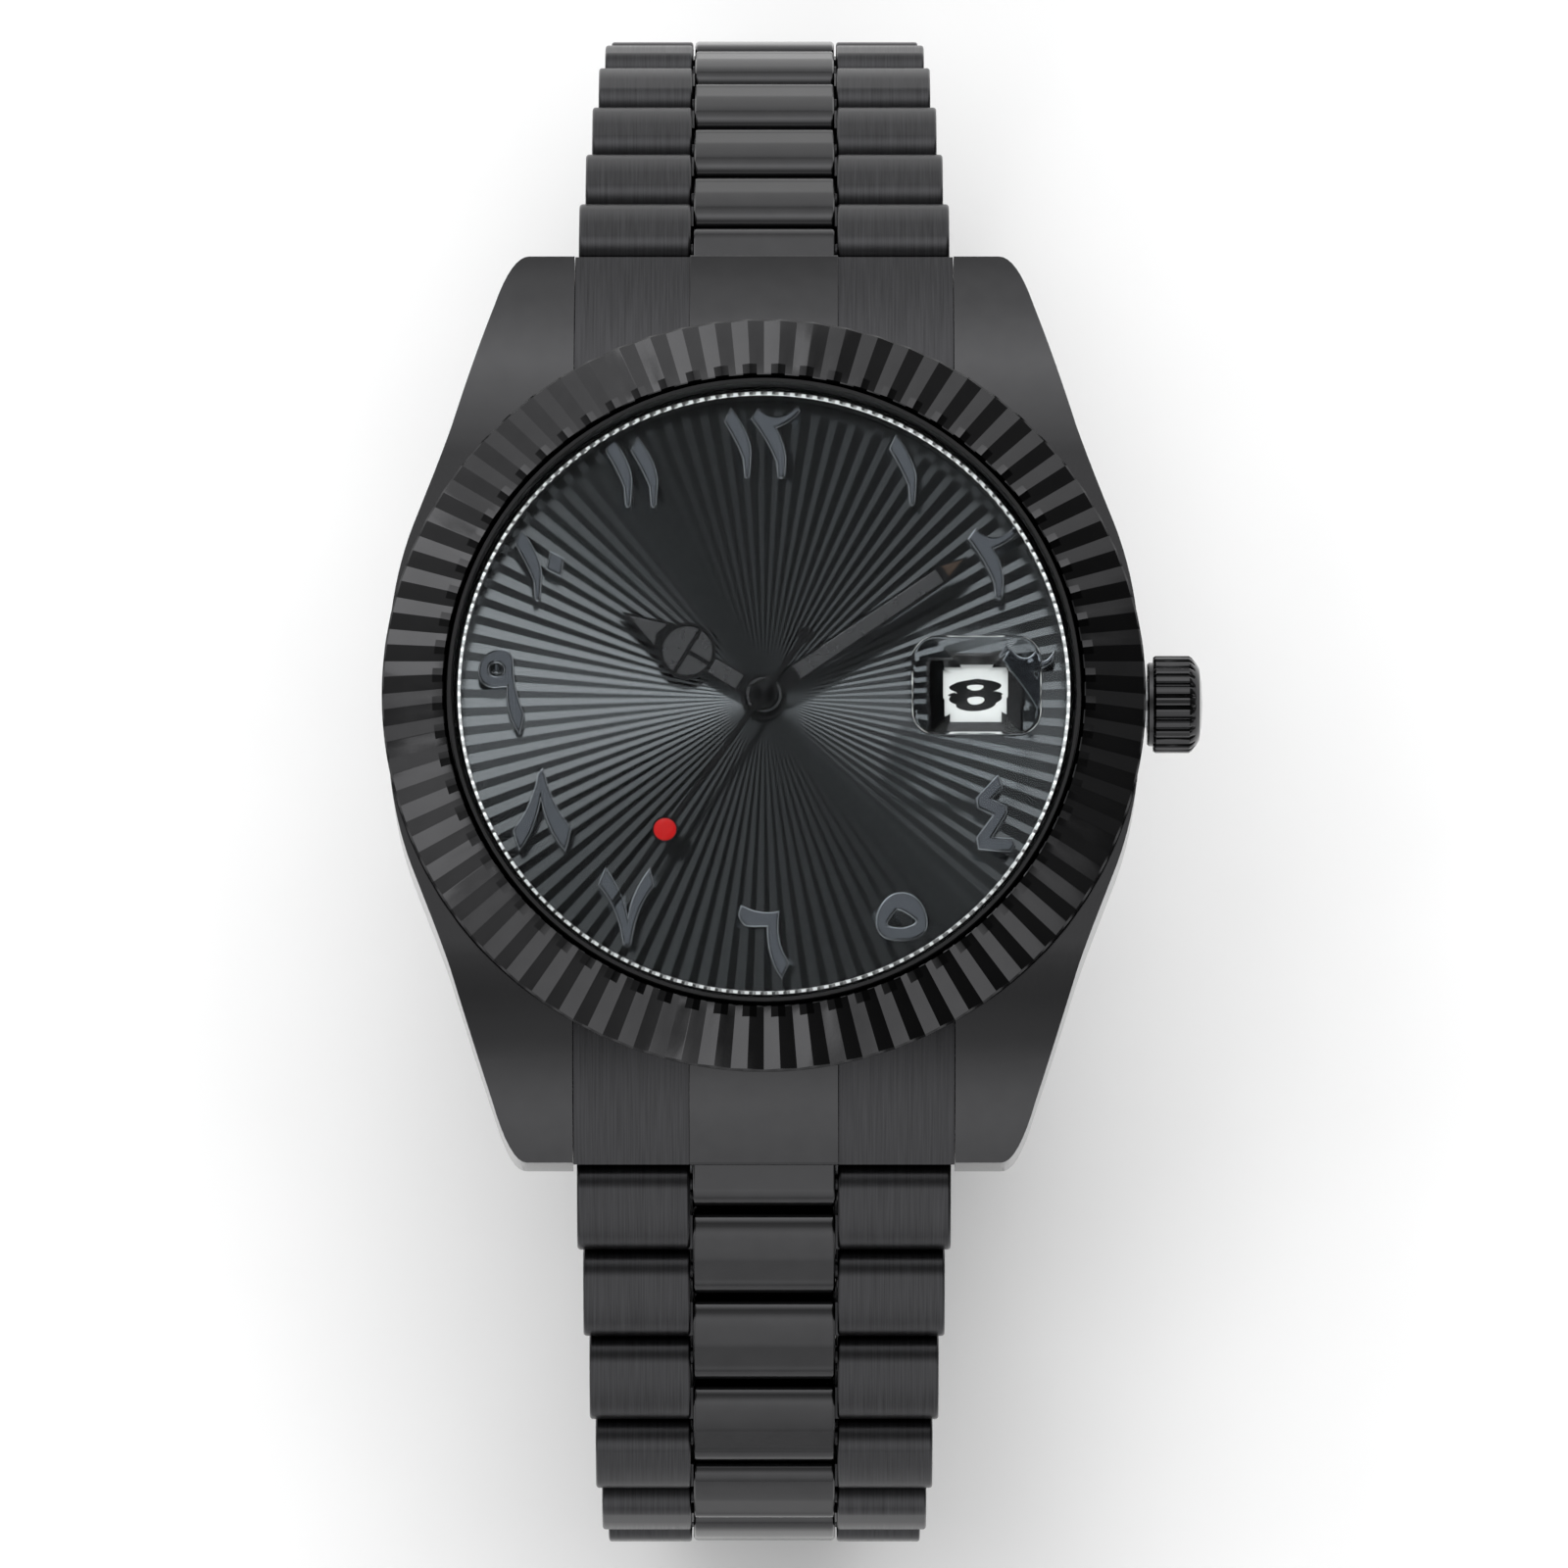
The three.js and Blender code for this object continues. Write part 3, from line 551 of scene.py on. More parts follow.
def link_tree():
    """Narrows a link's outer rows to fit the taper, hangs it on its pin and dresses its rows."""
    sockets = dict.fromkeys(("Inner", "Drawn", "Half Width"), "Float")
    sockets |= dict.fromkeys(("Pin", "Tilt", "Turn"), "Vector")
    sockets |= dict.fromkeys(("Outer Finish", "Centre Finish"), "Material")
    tree, given = tree_of("link on its pin", sockets)
    place = put(tree, "GeometryNodeInputPosition")
    x, y, z = put(tree, "ShaderNodeSeparateXYZ", {0: place}).outputs
    away = put(tree, "ShaderNodeMath", {0: x}, operation="ABSOLUTE")
    side = put(tree, "ShaderNodeMath", {0: x}, operation="SIGN")
    span = {"Value": away, "From Min": given["Inner"], "From Max": given["Drawn"]}
    span |= {"To Min": given["Inner"], "To Max": given["Half Width"]}
    taper = put(tree, "ShaderNodeMapRange", span, clamp=False)
    across = put(tree, "ShaderNodeMath", {0: taper, 1: side}, operation="MULTIPLY")
    moved = put(tree, "ShaderNodeCombineXYZ", {"X": across, "Y": y, "Z": z})
    outer = put(tree, "ShaderNodeMath", {0: away, 1: given["Inner"]}, operation="GREATER_THAN")
    narrowed = put(
        tree,
        "GeometryNodeSetPosition",
        {"Geometry": given["Geometry"], "Selection": outer, "Position": moved},
    )
    hung = put(
        tree,
        "GeometryNodeTransform",
        {"Geometry": narrowed, "Translation": given["Pin"], "Rotation": given["Tilt"]},
    )
    turned_half = put(tree, "GeometryNodeTransform", {"Geometry": hung, "Rotation": given["Turn"]})
    real = put(tree, "GeometryNodeRealizeInstances", {"Geometry": turned_half})
    outside = {"Geometry": real, "Material": given["Outer Finish"]}
    dressed = put(tree, "GeometryNodeSetMaterial", outside)
    name = {"Name": "centre row"}
    centre = put(tree, "GeometryNodeInputNamedAttribute", name, data_type="BOOLEAN")
    inside = {"Geometry": dressed, "Selection": centre, "Material": given["Centre Finish"]}
    both = put(tree, "GeometryNodeSetMaterial", inside)
    put(tree, "NodeGroupOutput", {"Geometry": both})
    return tree


def grown(tree, seed, inputs):
    """Runs a geometry tree on a seed mesh."""
    thing = shown("seed", seed)
    growth = thing.modifiers.new("growth", "NODES")
    growth.node_group = tree
    for item in tree.interface.items_tree:
        if item.in_out == "INPUT" and item.name in inputs:
            growth[item.identifier] = inputs[item.name]
    return evaluated(thing)


ROUND = round_tree()
LINK = link_tree()


def sector(columns):
    """One sector of a ring from its columns of points."""
    rows = len(columns[0])
    vertices = [p for column in columns for p in column]
    faces = []
    for c in range(len(columns) - 1):
        for r in range(rows):
            up = (r + 1) % rows
            faces.append([c * rows + r, (c + 1) * rows + r, (c + 1) * rows + up, c * rows + up])
    bm = opened(mesh_of(vertices, faces))
    bmesh.ops.remove_doubles(bm, verts=bm.verts, dist=1e-5)
    return as_mesh(bm)


def ring_of(columns, count, finish):
    """A whole ring from one sector, with its faces outwards."""
    made = grown(ROUND, sector(columns), {"Count": count, "Weld": 0.0005, "Finish": finish})
    return tidied(opened(made))


def spoke(angle, points):
    """A column of (radius, height) points at an angle."""
    return [(r * math.cos(angle), r * math.sin(angle), z) for r, z in points]


# ---- case ----


def case_plan():
    quadrant = bend((19.7, 0), (19.9, 5.5), (18.2, 9.6), 14)
    quadrant += bend((18.2, 9.6), (16.9, 12.9), (16.4, 14.4), 5)
    quadrant += bend((16.4, 14.4), (15.2, 18.3), (14.2, 21.2), 6)
    quadrant += bend((14.2, 21.2), (13.3, 24.2), (12.4, 24.2), 8) + [(12.4, 24.2), (9.9, 24.2)]
    half = quadrant + [(-x, y) for x, y in reversed(quadrant)]
    return half + [(x, -y) for x, y in reversed(half[1:-1])]


def case_side():
    half = bend((13, 2.6), (19.5, 2.6), (24.2, -0.9), 22)
    half += [(24.2, -0.9), (24.3, -3.4)]
    half += bend((24.3, -3.4), (24.2, -4.4), (23.5, -4.5), 5)
    half += bend((23.5, -4.5), (20.4, -4.3), (17.2, -3.4), 8) + [(17.2, -3.4)]
    return half + [(-y, z) for y, z in reversed(half)]


def case_middle():
    """The case between bezel and back: four lugs drawn out of one forging, then bored."""
    cuts = [("INTERSECT", prism(case_side(), -21, 21))]
    core = drum(18.2, -9, 9, 128)
    for side in (1, -1):
        near, far = sorted((side * 14.0, side * 30.0))
        gap = box((-10, near, -8), (10, far, 6))
        cuts.append(carved(gap, core.copy()))
    shell = softened(carved(prism(case_plan(), -5, 3, "Z"), *cuts), 0.22, 30, 3)
    bores = [
        drum(15.0, -9, 2, 96),
        drum(16.4, 1.25, 3, 128),
        drum(15.4, -9, -2.2, 96),
        laid(drum(1.35, 12, 21, 32), ABOUT_X),
    ]
    for y in (20.9, -20.9):
        for x in (9.8, -11.6):
            hole = laid(drum(0.55, x, x + 1.8, 24), ABOUT_X)
            bores.append(laid(hole, Matrix.Translation((0, y, -2))))
    return carved(shell, *bores)


piece("case_middle", case_middle(), "head", BLACK, "mid_case", STEM)


def bezel():
    """Flat flanks meet in ridges and valleys, and each ridge ends in a small hip."""
    top, edge = 4.75, 3.3
    slope = (top - edge) / (BEZEL_RADIUS - 17.0)

    def column(share, depth):
        def line(r):
            return top - (r - 17.0) * slope

        points = [
            (16.6, 2.75), (19.85, 2.75), (BEZEL_RADIUS, 2.9),
            (BEZEL_RADIUS, edge - 0.12 - depth * 0.6),
            (BEZEL_RADIUS - 0.1, edge + 0.02 - depth * 0.8), (18.7, line(18.7) - depth),
            (17.35, line(17.35) - depth), (16.82, line(17.0) - 0.1 - depth * 0.3),
            (16.76, line(17.0) - 0.2), (16.66, line(17.0) - 0.3), (16.6, line(17.0) - 0.4),
        ]
        return spoke(share * math.tau / FLUTES, points)

    places = [(0, 0.3), (0.25, 0.155), (0.47, 0.015), (0.5, 0)]
    places += [(1 - share, depth) for share, depth in reversed(places[:-1])]
    ring = ring_of([column(*place) for place in places], FLUTES, BLACK)
    for polygon in ring.polygons:
        inner = math.hypot(*polygon.center[:2]) < 16.78
        polygon.material_index = int(inner and polygon.center.z > 4)
    return ring


piece("fluted_bezel", bezel(), "head", [BLACK, EDGE], "bezel", STEM, 9)


def case_back():
    """A screw-down back with a turned step and twelve key notches round its rim."""
    rim = [(14.9, -4.7), (14.95, -3.5), (14.95, -2.35), (15.3, -2.35), (15.3, -3.5)]
    columns = []
    for share, notch in ((0, 0), (0.32, 0), (0.36, 1), (0.64, 1), (0.68, 0), (1, 0)):
        outside = 17 - 0.7 * notch
        points = rim + [
            (outside, -3.5), (outside, -4.4), (outside - 0.05, -4.55), (16.3 - 0.5 * notch, -5.3),
            (15.2, -5.95), (15.05, -6), (11.0, -6), (10.9, -5.9), (10.7, -5.9), (10.6, -6),
            (0, -6), (0, -4.7),
        ]
        columns.append(spoke(share * math.tau / KEY_NOTCHES, points))
    fine = []
    for a, b in zip(columns, columns[1:]):
        fine += [
            [tuple(Vector(p).lerp(Vector(q), t)) for p, q in zip(a, b)] for t in (0, 0.33, 0.67)
        ]
    return ring_of(fine + [columns[-1]], KEY_NOTCHES, SATIN)


piece("screw_back", case_back(), "head", SATIN, "case_back", STEM)

# ---- crystal and date lens ----

FLAT_GLASS = [
    (0, 3.7), (16.2, 3.7), (16.3, 3.8), (16.3, 4.95), (16.22, 5.07), (16.02, 5.27), (15.9, 5.3),
    (0, 5.3),
]
piece("flat_crystal", turned(FLAT_GLASS, 160), "head", SAPPHIRE, "crystal", STEM, 40)


def rounded(half_x, half_y, corner):
    """A rectangle with rounded corners."""
    x, y = half_x - corner, half_y - corner
    outline = []
    for k, middle in enumerate(((x, y), (-x, y), (-x, -y), (x, -y))):
        outline += arc(middle, corner, 90 * k, 90 * k + 90, 8)
    return outline


def lofted(loops):
    """A skin through closed loops of equal count, closed at both ends."""
    count = len(loops[0])
    vertices = [p for loop in loops for p in loop]
    faces = [list(range(count)), list(range(len(vertices) - count, len(vertices)))]
    for k in range(len(loops) - 1):
        for i in range(count):
            a, b = k * count + i, k * count + (i + 1) % count
            faces.append([a, b, b + count, a + count])
    return tidied(opened(mesh_of(vertices, faces)))


def date_lens():
    """A cushion of sapphire: a rolled rim round a shallow dome that enlarges the date."""
    half_x, half_y, dome = 3.4, 2.65, 13.0

    def top(x, y):
        return 6.2 - (x * x + y * y) / 2 / dome

    def ring(inset, share):
        outline = rounded(half_x - inset, half_y - inset, 1.3 - inset)
        edge = rounded(half_x - 0.24, half_y - 0.24, 1.06)
        return [
            (WINDOW_X + x, y, 5.36 + share * (top(*place) - 5.36))
            for (x, y), place in zip(outline, edge)
        ]

    loops = [ring(*step) for step in ((0, 0), (0, 0.5), (0.04, 0.74), (0.12, 0.92), (0.24, 1))]
    for share in (0.93, 0.84, 0.73, 0.6, 0.47, 0.34, 0.21, 0.08):
        outline = rounded((half_x - 0.24) * share, (half_y - 0.24) * share, 1.06 * share)
        loops.append([(WINDOW_X + x, y, top(x, y)) for x, y in outline])
    return lofted(loops)


piece("cushion_date_lens", date_lens(), "head", LENS, "date_lens", STEM, 60)

# ---- dial ----

# one flank of a pleat is a little steeper, so that neighbours never shine alike; the steeper flank
# also takes a darker copy of the lacquer, as painted shade
LOW_SHARE = 0.44


def pleated_dial():
    """A pressed fan: crests and valleys run from the middle to the rim at the same slopes."""
    steep = math.tan(math.radians(15))
    radii = [1.1, 3, 6, 10, 14, DIAL_RADIUS - 0.02]
    columns = []
    for share, depth in ((0, 0), (LOW_SHARE, 1), (1, 0)):
        drop = math.pi / PLEATS * steep * depth
        points = [(1.1, 1.35)] + [(r, 1.75 - r * drop) for r in radii]
        points.append((DIAL_RADIUS - 0.02, 1.35))
        columns.append(spoke((share - 0.5) * math.tau / PLEATS, points))
    fan = ring_of(columns, PLEATS, DIAL)
    window = box((WINDOW_X - 1.9, -1.7, 0), (WINDOW_X + 1.9, 1.7, 3))
    mesh = carved(fan, window)
    # the steeper flank of each pleat gets the darker copy of the lacquer, which is painted shade
    for polygon in mesh.polygons:
        turns = math.atan2(polygon.center.y, polygon.center.x) / math.tau
        polygon.material_index = int((turns * PLEATS + 0.5) % 1 < LOW_SHARE)
    return mesh


piece("pleated_dial", pleated_dial(), "head", [DIAL, PAINTED_SHADE_LACQUER], "dial", STEM, 6)


def window_frame():
    """A polished funnel pressed into the date window, narrowing to one date."""
    loops = []
    for half_x, half_y, z, rise in (
        (1.34, 1.06, 1.36, DATE_RISE), (2.1, 1.9, 1.36, 0), (2.1, 1.9, 1.86, 0),
        (1.98, 1.78, 1.9, 0), (1.34, 1.06, 1.45, DATE_RISE),
    ):
        outline = [(half_x, half_y), (-half_x, half_y), (-half_x, -half_y), (half_x, -half_y)]
        loops.append([(WINDOW_X + x, y + rise, z) for x, y in outline])
    vertices = [p for loop in loops for p in loop]
    faces = []
    for k in range(5):
        for i in range(4):
            j, up = (i + 1) % 4, (k + 1) % 5
            faces.append([4 * k + i, 4 * k + j, 4 * up + j, 4 * up + i])
    return tidied(opened(mesh_of(vertices, faces)))


piece("date_window_frame", window_frame(), "head", BLACK, (), STEM)


def inner_flange():
    """A black wall between dial and crystal, topped by a bright coin-edged ring that sparkles."""
    columns = []
    for share, rise in ((0, 0), (0.22, 0.05), (0.3, 0.06), (0.7, 0.06), (0.78, 0.05), (1, 0)):
        points = [
            (15.9, 1.85), (16.3, 1.85), (16.3, 3.4), (16.08, 3.45), (16.05, 3.5 + rise),
            (16.02, 3.52 + rise), (15.88, 3.52 + rise), (15.84, 3.49 + rise), (15.86, 3.4),
        ]
        columns.append(spoke(share * math.tau / COIN_TEETH, points))
    ring = ring_of(columns, COIN_TEETH, EDGE)
    for polygon in ring.polygons:
        away = math.hypot(*polygon.center[:2])
        polygon.material_index = int(polygon.center.z > 3.44 and away < 16.09)
    return ring


piece(
    "coin_edged_flange",
    inner_flange(),
    "head",
    [EDGE, BRIGHT],
    "rehaut_ring",
    STEM,
    10,
)
GASKET = [(16.36, 3.2), (16.54, 3.2), (16.54, 4.7), (16.36, 4.7)]
piece("crystal_seal", turned(GASKET, 128), "head", RUBBER, "crystal_gasket", STEM)

# Numerals are drawn with a broad pen, in millimetres about the middle of each figure.
ONE = [
    (-0.36, 1.88), (-0.69, 1.13), (-0.14, 0.26, 0.29, -0.79), (0.36, -1.73),
    (0.48, -1.98, 0.61, -1.73), (0.69, -0.49), (0.65, 0.49, -0.36, 1.88),
]
TWO = [
    (-0.9, 1.83), (-1.26, 1.32), (-0.41, 0.26, 0.09, -1.02), (0.14, -1.73),
    (0.32, -1.98, 0.5, -1.73), (0.56, -0.86), (0.45, 0.11, 0.0, 0.83), (0.86, 1.13, 1.28, 1.69),
    (1.17, 1.95), (0.11, 0.86, -0.9, 1.83),
]
THREE = [
    (-1.3, 1.83), (-1.6, 1.32), (-0.8, 0.3, -0.12, -1.02), (-0.08, -1.73),
    (0.1, -1.98, 0.28, -1.73), (0.34, -0.86), (0.2, 0.2, -0.35, 0.85), (-0.1, 0.95, 0.05, 1.2),
    (0.6, 0.95, 1.15, 1.5), (1.25, 2.0), (0.7, 1.0, -0.05, 1.85), (-0.6, 0.95, -1.3, 1.83),
]
FOUR = [
    (0.16, 2.03), (-0.96, 0.82), (-0.91, 0.32), (-0.06, -0.07), (-0.96, -1.29), (-0.87, -1.85),
    (0.75, -2.04), (1.02, -1.67), (0.93, -1.37), (-0.19, -1.27), (0.62, 0.07), (0.56, 0.35),
    (-0.21, 0.76), (0.37, 1.38),
]
FIVE = [
    (0.0, 1.28), (0.8, 1.28, 1.2, 0.35), (1.6, -0.75, 0.75, -1.12), (0.0, -1.35, -0.8, -1.1),
    (-1.6, -0.7, -1.18, 0.4), (-0.75, 1.28, 0.0, 1.28),
]
FIVE_HOLE = [
    (-0.24, 0.42), (0.0, 0.5, 0.76, -0.12), (0.85, -0.45, 0.06, -0.6),
    (-0.95, -0.6, -0.73, -0.23), (-0.5, 0.2, -0.24, 0.42),
]
SIX = [
    (-1.17, 1.9), (-1.32, 1.43), (-1.13, 0.86, -0.75, 0.85), (0.19, 0.86),
    (0.15, -0.83, 0.94, -1.92), (1.32, -1.13), (0.53, -0.08, 0.79, 1.58),
    (-0.23, 1.35, -1.17, 1.9),
]
SEVEN = [
    (-1.09, 2.09), (-1.44, 1.23), (-0.35, -0.02, -0.14, -1.89), (0.06, -2.2, 0.26, -1.89),
    (0.47, -0.02, 1.45, 1.19), (1.23, 2.05), (0.32, 0.81, 0.08, -0.54), (-0.2, 0.96, -1.09, 2.09),
]
EIGHT = [
    (-0.21, 1.9), (0.02, 2.16), (0.13, 1.82), (0.58, 0.09, 1.52, -0.96), (1.22, -2.17),
    (0.32, -1.19, -0.08, 0.62), (-0.4, -1.19, -1.19, -2.13), (-1.51, -1.11),
    (-0.47, 0.24, -0.21, 1.9),
]
NINE = [
    (0.3, 0.29), (0.18, -1.14, 0.96, -2.25), (1.18, -1.23), (0.63, 0.0, 0.61, 1.31),
    (0.67, 2.21, -0.11, 2.21), (-1.09, 2.09, -1.19, 1.06), (-1.17, 0.29, -0.39, 0.23),
]
NINE_HOLE = arc((-0.27, 1.15), 0.42, 0, 345, 23)
NOUGHT = [(-0.26, 0.63), (0.43, 0.26), (0.29, -0.64), (-0.47, -0.27)]

# Each figure, from one o'clock on: its middle on the dial, its outline and its hole.
FIGURES = (
    (7.3, 12.1, ONE), (12.0, 7.1, TWO), (13.95, 0.4, THREE), (12.1, -6.2, FOUR),
    (7.2, -11.7, FIVE, FIVE_HOLE), (0.0, -13.0, SIX), (-7.2, -11.2, SEVEN), (-11.6, -6.0, EIGHT),
    (-13.75, 0.3, NINE, NINE_HOLE), (-12.35, 7.0, ONE), (-10.94, 7.1, NOUGHT), (-7.62, 12.0, ONE),
    (-6.28, 12.0, ONE), (-1.37, 13.55, ONE), (0.59, 13.55, TWO),
)


def numerals():
    """Applied hour numerals: a bright cut edge shows all round a darker polished face."""
    feet, faces = [], []
    for x, y, *loops in FIGURES:
        outlines = [[(x + u, y + v) for u, v in pen(loop)] for loop in loops]
        feet.append(stamped(outlines, 1.6, 2.2, 0.03, -0.04))
        faces.append(stamped(outlines, 2.15, 2.42, 0.05, 0.03))
    return two_toned(feet, faces)


piece("hour_numerals", numerals(), "head", [CUT, NUMERAL], (), STEM)

# ---- date disc ----


def disc_print():
    """The dates 1 to 31, read through the window in turn, with 8 in it at rest."""
    made = []
    for date in range(1, DATES + 1):
        text = bpy.data.curves.new("date", "FONT")
        text.body = str(date)
        text.offset = 0.03
        mesh = evaluated(shown("date", text))
        points = np.array([v.co for v in mesh.vertices])
        low, high = points.min(0), points.max(0)
        wide = 2.25 if date != 1 else 0.8
        fit = Matrix.Diagonal((wide / (high[0] - low[0]), 1.15 / (high[1] - low[1]), 1, 1))
        middle = Matrix.Translation((-(low[0] + high[0]) / 2, -(low[1] + high[1]) / 2, 0))
        turn = Matrix.Rotation((date - 8) * math.tau / DATES + DATE_RISE / WINDOW_X, 4, "Z")
        made.append(laid(mesh, turn @ Matrix.Translation((WINDOW_X, 0, 1.206)) @ fit @ middle))
    return joined(*made)


DISC = [(8.4, 0.95), (13.8, 0.95), (13.8, 1.2), (8.4, 1.2)]
piece("date_ring", turned(DISC, 124), "date_disc", WHITE, "date_disc", STEM)
piece("date_print", disc_print(), "date_disc", PRINT, (), STEM)

# ---- hands ----


def hand_turn(node):
    """Turns a hand drawn towards 12 o'clock to where its CAD node points."""
    points = [v.co for v in frame["nodes"][node].data.vertices]
    tip = max(points, key=lambda p: math.hypot(p.x, p.y))
    return Matrix.Rotation(-math.atan2(tip.x, tip.y), 4, "Z")


RING_PLACE, RING = 4.7, 1.5


def hour_hand():
    """A neck, a ring with a T-shaped divider and a spear tip, polished black."""
    spear = [
        (0.53, 0.4), (0.53, RING_PLACE - 1.2), (0.95, RING_PLACE + 1.16), (0.0, 8.7),
        (-0.95, RING_PLACE + 1.16), (-0.53, RING_PLACE - 1.2), (-0.53, 0.4),
    ]
    ring = laid(drum(RING, 2.15, 2.35, 64), Matrix.Translation((0, RING_PLACE, 0)))
    well = carved(
        drum(RING - 0.2, 1, 4, 64),
        box((-2, -0.11, 0), (2, 0.11, 5)),
        box((-0.11, -2, 0), (0.11, 0, 5)),
    )
    body = carved(
        prism(spear, 2.15, 2.35, "Z"),
        ("UNION", ring),
        ("UNION", drum(1.2, 2.15, 2.35, 48)),
        laid(well, Matrix.Translation((0, RING_PLACE, 0))),
        drum(0.6, 0, 4, 32),
    )
    pipe = turned([(0.6, 0.6), (0.85, 0.6), (0.85, 2.3), (0.6, 2.3)], 32)
    return joined(softened(body, 0.04, 30, 1), pipe)


def hour_fill():
    """Grey fill in the neck, ring and spear of the hour hand, a little proud of the black."""
    neck = [(0.53, 1.35), (0.53, 3.3), (-0.53, 3.3), (-0.53, 1.35)]
    spear = [(0.83, 6.15), (0.0, 8.7), (-0.83, 6.15), (0, 6.4)]
    disc = laid(drum(RING - 0.17, 2.18, 2.27, 64), Matrix.Translation((0, RING_PLACE, 0)))
    flats = [stamped([part], 2.3, 2.38, 0.03, 0.13) for part in (neck, spear)]
    return joined(disc, *flats)


def minute_hand():
    """A baton with a pointed tip, a round hub and a bore, polished black."""
    outline = [(0.55, 0), (0.5, 11.4), (0, 13), (-0.5, 11.4), (-0.55, 0)]
    body = carved(
        prism(outline, 2.7, 2.9, "Z"),
        ("UNION", drum(1.0, 2.7, 2.9, 48)),
        drum(0.55, 1.7, 3.9, 32),
    )
    return softened(body, 0.04, 30, 1)


def minute_fill():
    """A grey collar and a long grey fill, and a bronze tinted fill in the tip."""
    long = [(0.54, 1.95), (0.5, 11.3), (-0.5, 11.3), (-0.54, 1.95)]
    baton = stamped([long], 2.85, 2.93, 0.03, 0.13)
    tip = stamped([[(0.47, 11.45), (0, 13), (-0.47, 11.45)]], 2.85, 2.93, 0.03, 0.1)
    collar = turned([(0.79, 2.88), (0.93, 2.88), (0.91, 2.95), (0.81, 2.95)], 48)
    return two_toned([collar, baton], [tip])


HOUR_TURN = hand_turn("hour_hand")
MINUTE_TURN = hand_turn("minute_hand")
SECONDS_TURN = hand_turn("seconds_hand")

for name, mesh, turn, body, finish, stands_for in (
    ("ring_hour_hand", hour_hand(), HOUR_TURN, "hour_hand", EDGE, "hour_hand"),
    ("hour_hand_fill", hour_fill(), HOUR_TURN, "hour_hand", HAND, ()),
    ("baton_minute_hand", minute_hand(), MINUTE_TURN, "minute_hand", EDGE, "minute_hand"),
    ("minute_hand_fill", minute_fill(), MINUTE_TURN, "minute_hand", [HAND, TIP], ()),
):
    piece(name, laid(mesh, turn), body, finish, stands_for, STEM)


def seconds_hand():
    """A needle with a round seat near its tip, a ball counterweight and a domed hub."""
    needle = prism(
        [(0.16, -3.8), (0.13, 8.9), (0.07, 13.6), (-0.07, 13.6), (-0.13, 8.9), (-0.16, -3.8)],
        3.2,
        3.4,
        "Z",
    )
    seat = laid(drum(0.7, 3.2, 3.4, 48), Matrix.Translation((0, 8.9, 0)))
    weight = laid(drum(0.42, 3.2, 3.4, 40), Matrix.Translation((0, -3.8, 0)))
    body = carved(needle, ("UNION", seat), ("UNION", weight), ("UNION", drum(0.75, 3.2, 3.4, 48)))
    hub = turned([(0, 3.38), (0.6, 3.38), (0.55, 3.46), (0.4, 3.52), (0.2, 3.55), (0, 3.56)], 48)
    return joined(softened(body, 0.03, 30, 1), hub, drum(0.18, -2.9, 3.25, 16))


NEEDLE = laid(seconds_hand(), SECONDS_TURN)
piece("needle_seconds_hand", NEEDLE, "seconds_hand", EDGE, "seconds_hand", STEM)
DROP = [(0, 3.38), (0.59, 3.38), (0.59, 3.42), (0.5, 3.45), (0.3, 3.47), (0, 3.475)]
SPOT = laid(turned(DROP, 48), SECONDS_TURN @ Matrix.Translation((0, 8.9, 0)))
piece("red_spot", SPOT, "seconds_hand", RED, (), STEM, 40)

# ---- crown ----


def crown():
    """A screw-down crown: round ridges with narrow grooves, and a low dome at its end."""
    columns = []
    groove = ((0, 0.2), (0.1, 0.16), (0.2, 0.04), (0.35, 0))
    for share, cut in groove + tuple((1 - share, cut) for share, cut in reversed(groove)):
        grip = 2.55 - cut
        points = [
            (1.55, 20.1), (2.1, 20.1), (2.2, 20.2), (2.2, 20.4), (grip - 0.08, 20.42),
            (grip, 20.55), (grip, 22.3), (grip - 0.1, 22.45), (2.25, 22.6), (2.2, 22.66),
            (1.9, 22.84), (1.2, 22.95), (0, 23.0), (0, 22.2), (0.5, 22.2), (0.5, 22.0),
            (1.55, 22.0),
        ]
        columns.append(spoke(share * math.tau / CROWN_RIDGES, points))
    return laid(ring_of(columns, CROWN_RIDGES, BLACK), ABOUT_X)


piece("ridged_crown", crown(), "crown", BLACK, "crown", STEM, 20)

# ---- bracelet ----

PITCH = 5.2
OUTER_INNER = 3.87
CENTRE_HALF = 3.75
DRAWN_HALF = 9.0


def outer_row():
    outline = arc((0, 0), 1.3, 262, 100, 18)
    outline += bend((0.4, 1.36), (1.3, 1.53), (2.4, 1.4), 6)
    outline += bend((2.4, 1.4), (3.4, 1.2), (3.78, 0.45), 6) + [(3.78, 0.45)]
    outline += bend((3.78, -0.85), (3.7, -1.2), (3.2, -1.28), 4) + [(3.2, -1.28)]
    return outline


def centre_row():
    outline = [(1.42, -1.1), (1.42, 0.75)]
    outline += bend((1.42, 0.75), (1.5, 1.3), (2.3, 1.44), 5)
    outline += bend((2.3, 1.44), (3.4, 1.52), (4.2, 1.44), 6)
    outline += arc((PITCH, 0), 1.3, 96, -96, 22) + [(1.9, -1.28)]
    return outline


def master_link():
    """One link at full size: two brushed outer rows on a pin, a polished centre half a pitch on."""
    outer = softened(prism(outer_row(), OUTER_INNER, DRAWN_HALF), 0.16, 40, 3)
    other = laid(outer, Matrix.Scale(-1, 4, (1, 0, 0)))
    bridge = box((-4.3, 1.6, -0.9), (4.3, 3.6, 0.7))
    pin = laid(drum(0.5, -4.4, 4.4, 20), ABOUT_X)
    centre = softened(prism(centre_row(), -CENTRE_HALF, CENTRE_HALF), 0.2, 40, 3)
    mesh = joined(outer, other, bridge, pin, centre)
    rows = np.zeros(len(mesh.polygons), bool)
    rows[len(rows) - len(centre.polygons) :] = True
    mark = mesh.attributes.new("centre row", "BOOLEAN", "FACE")
    mark.data.foreach_set("value", rows)
    return mesh


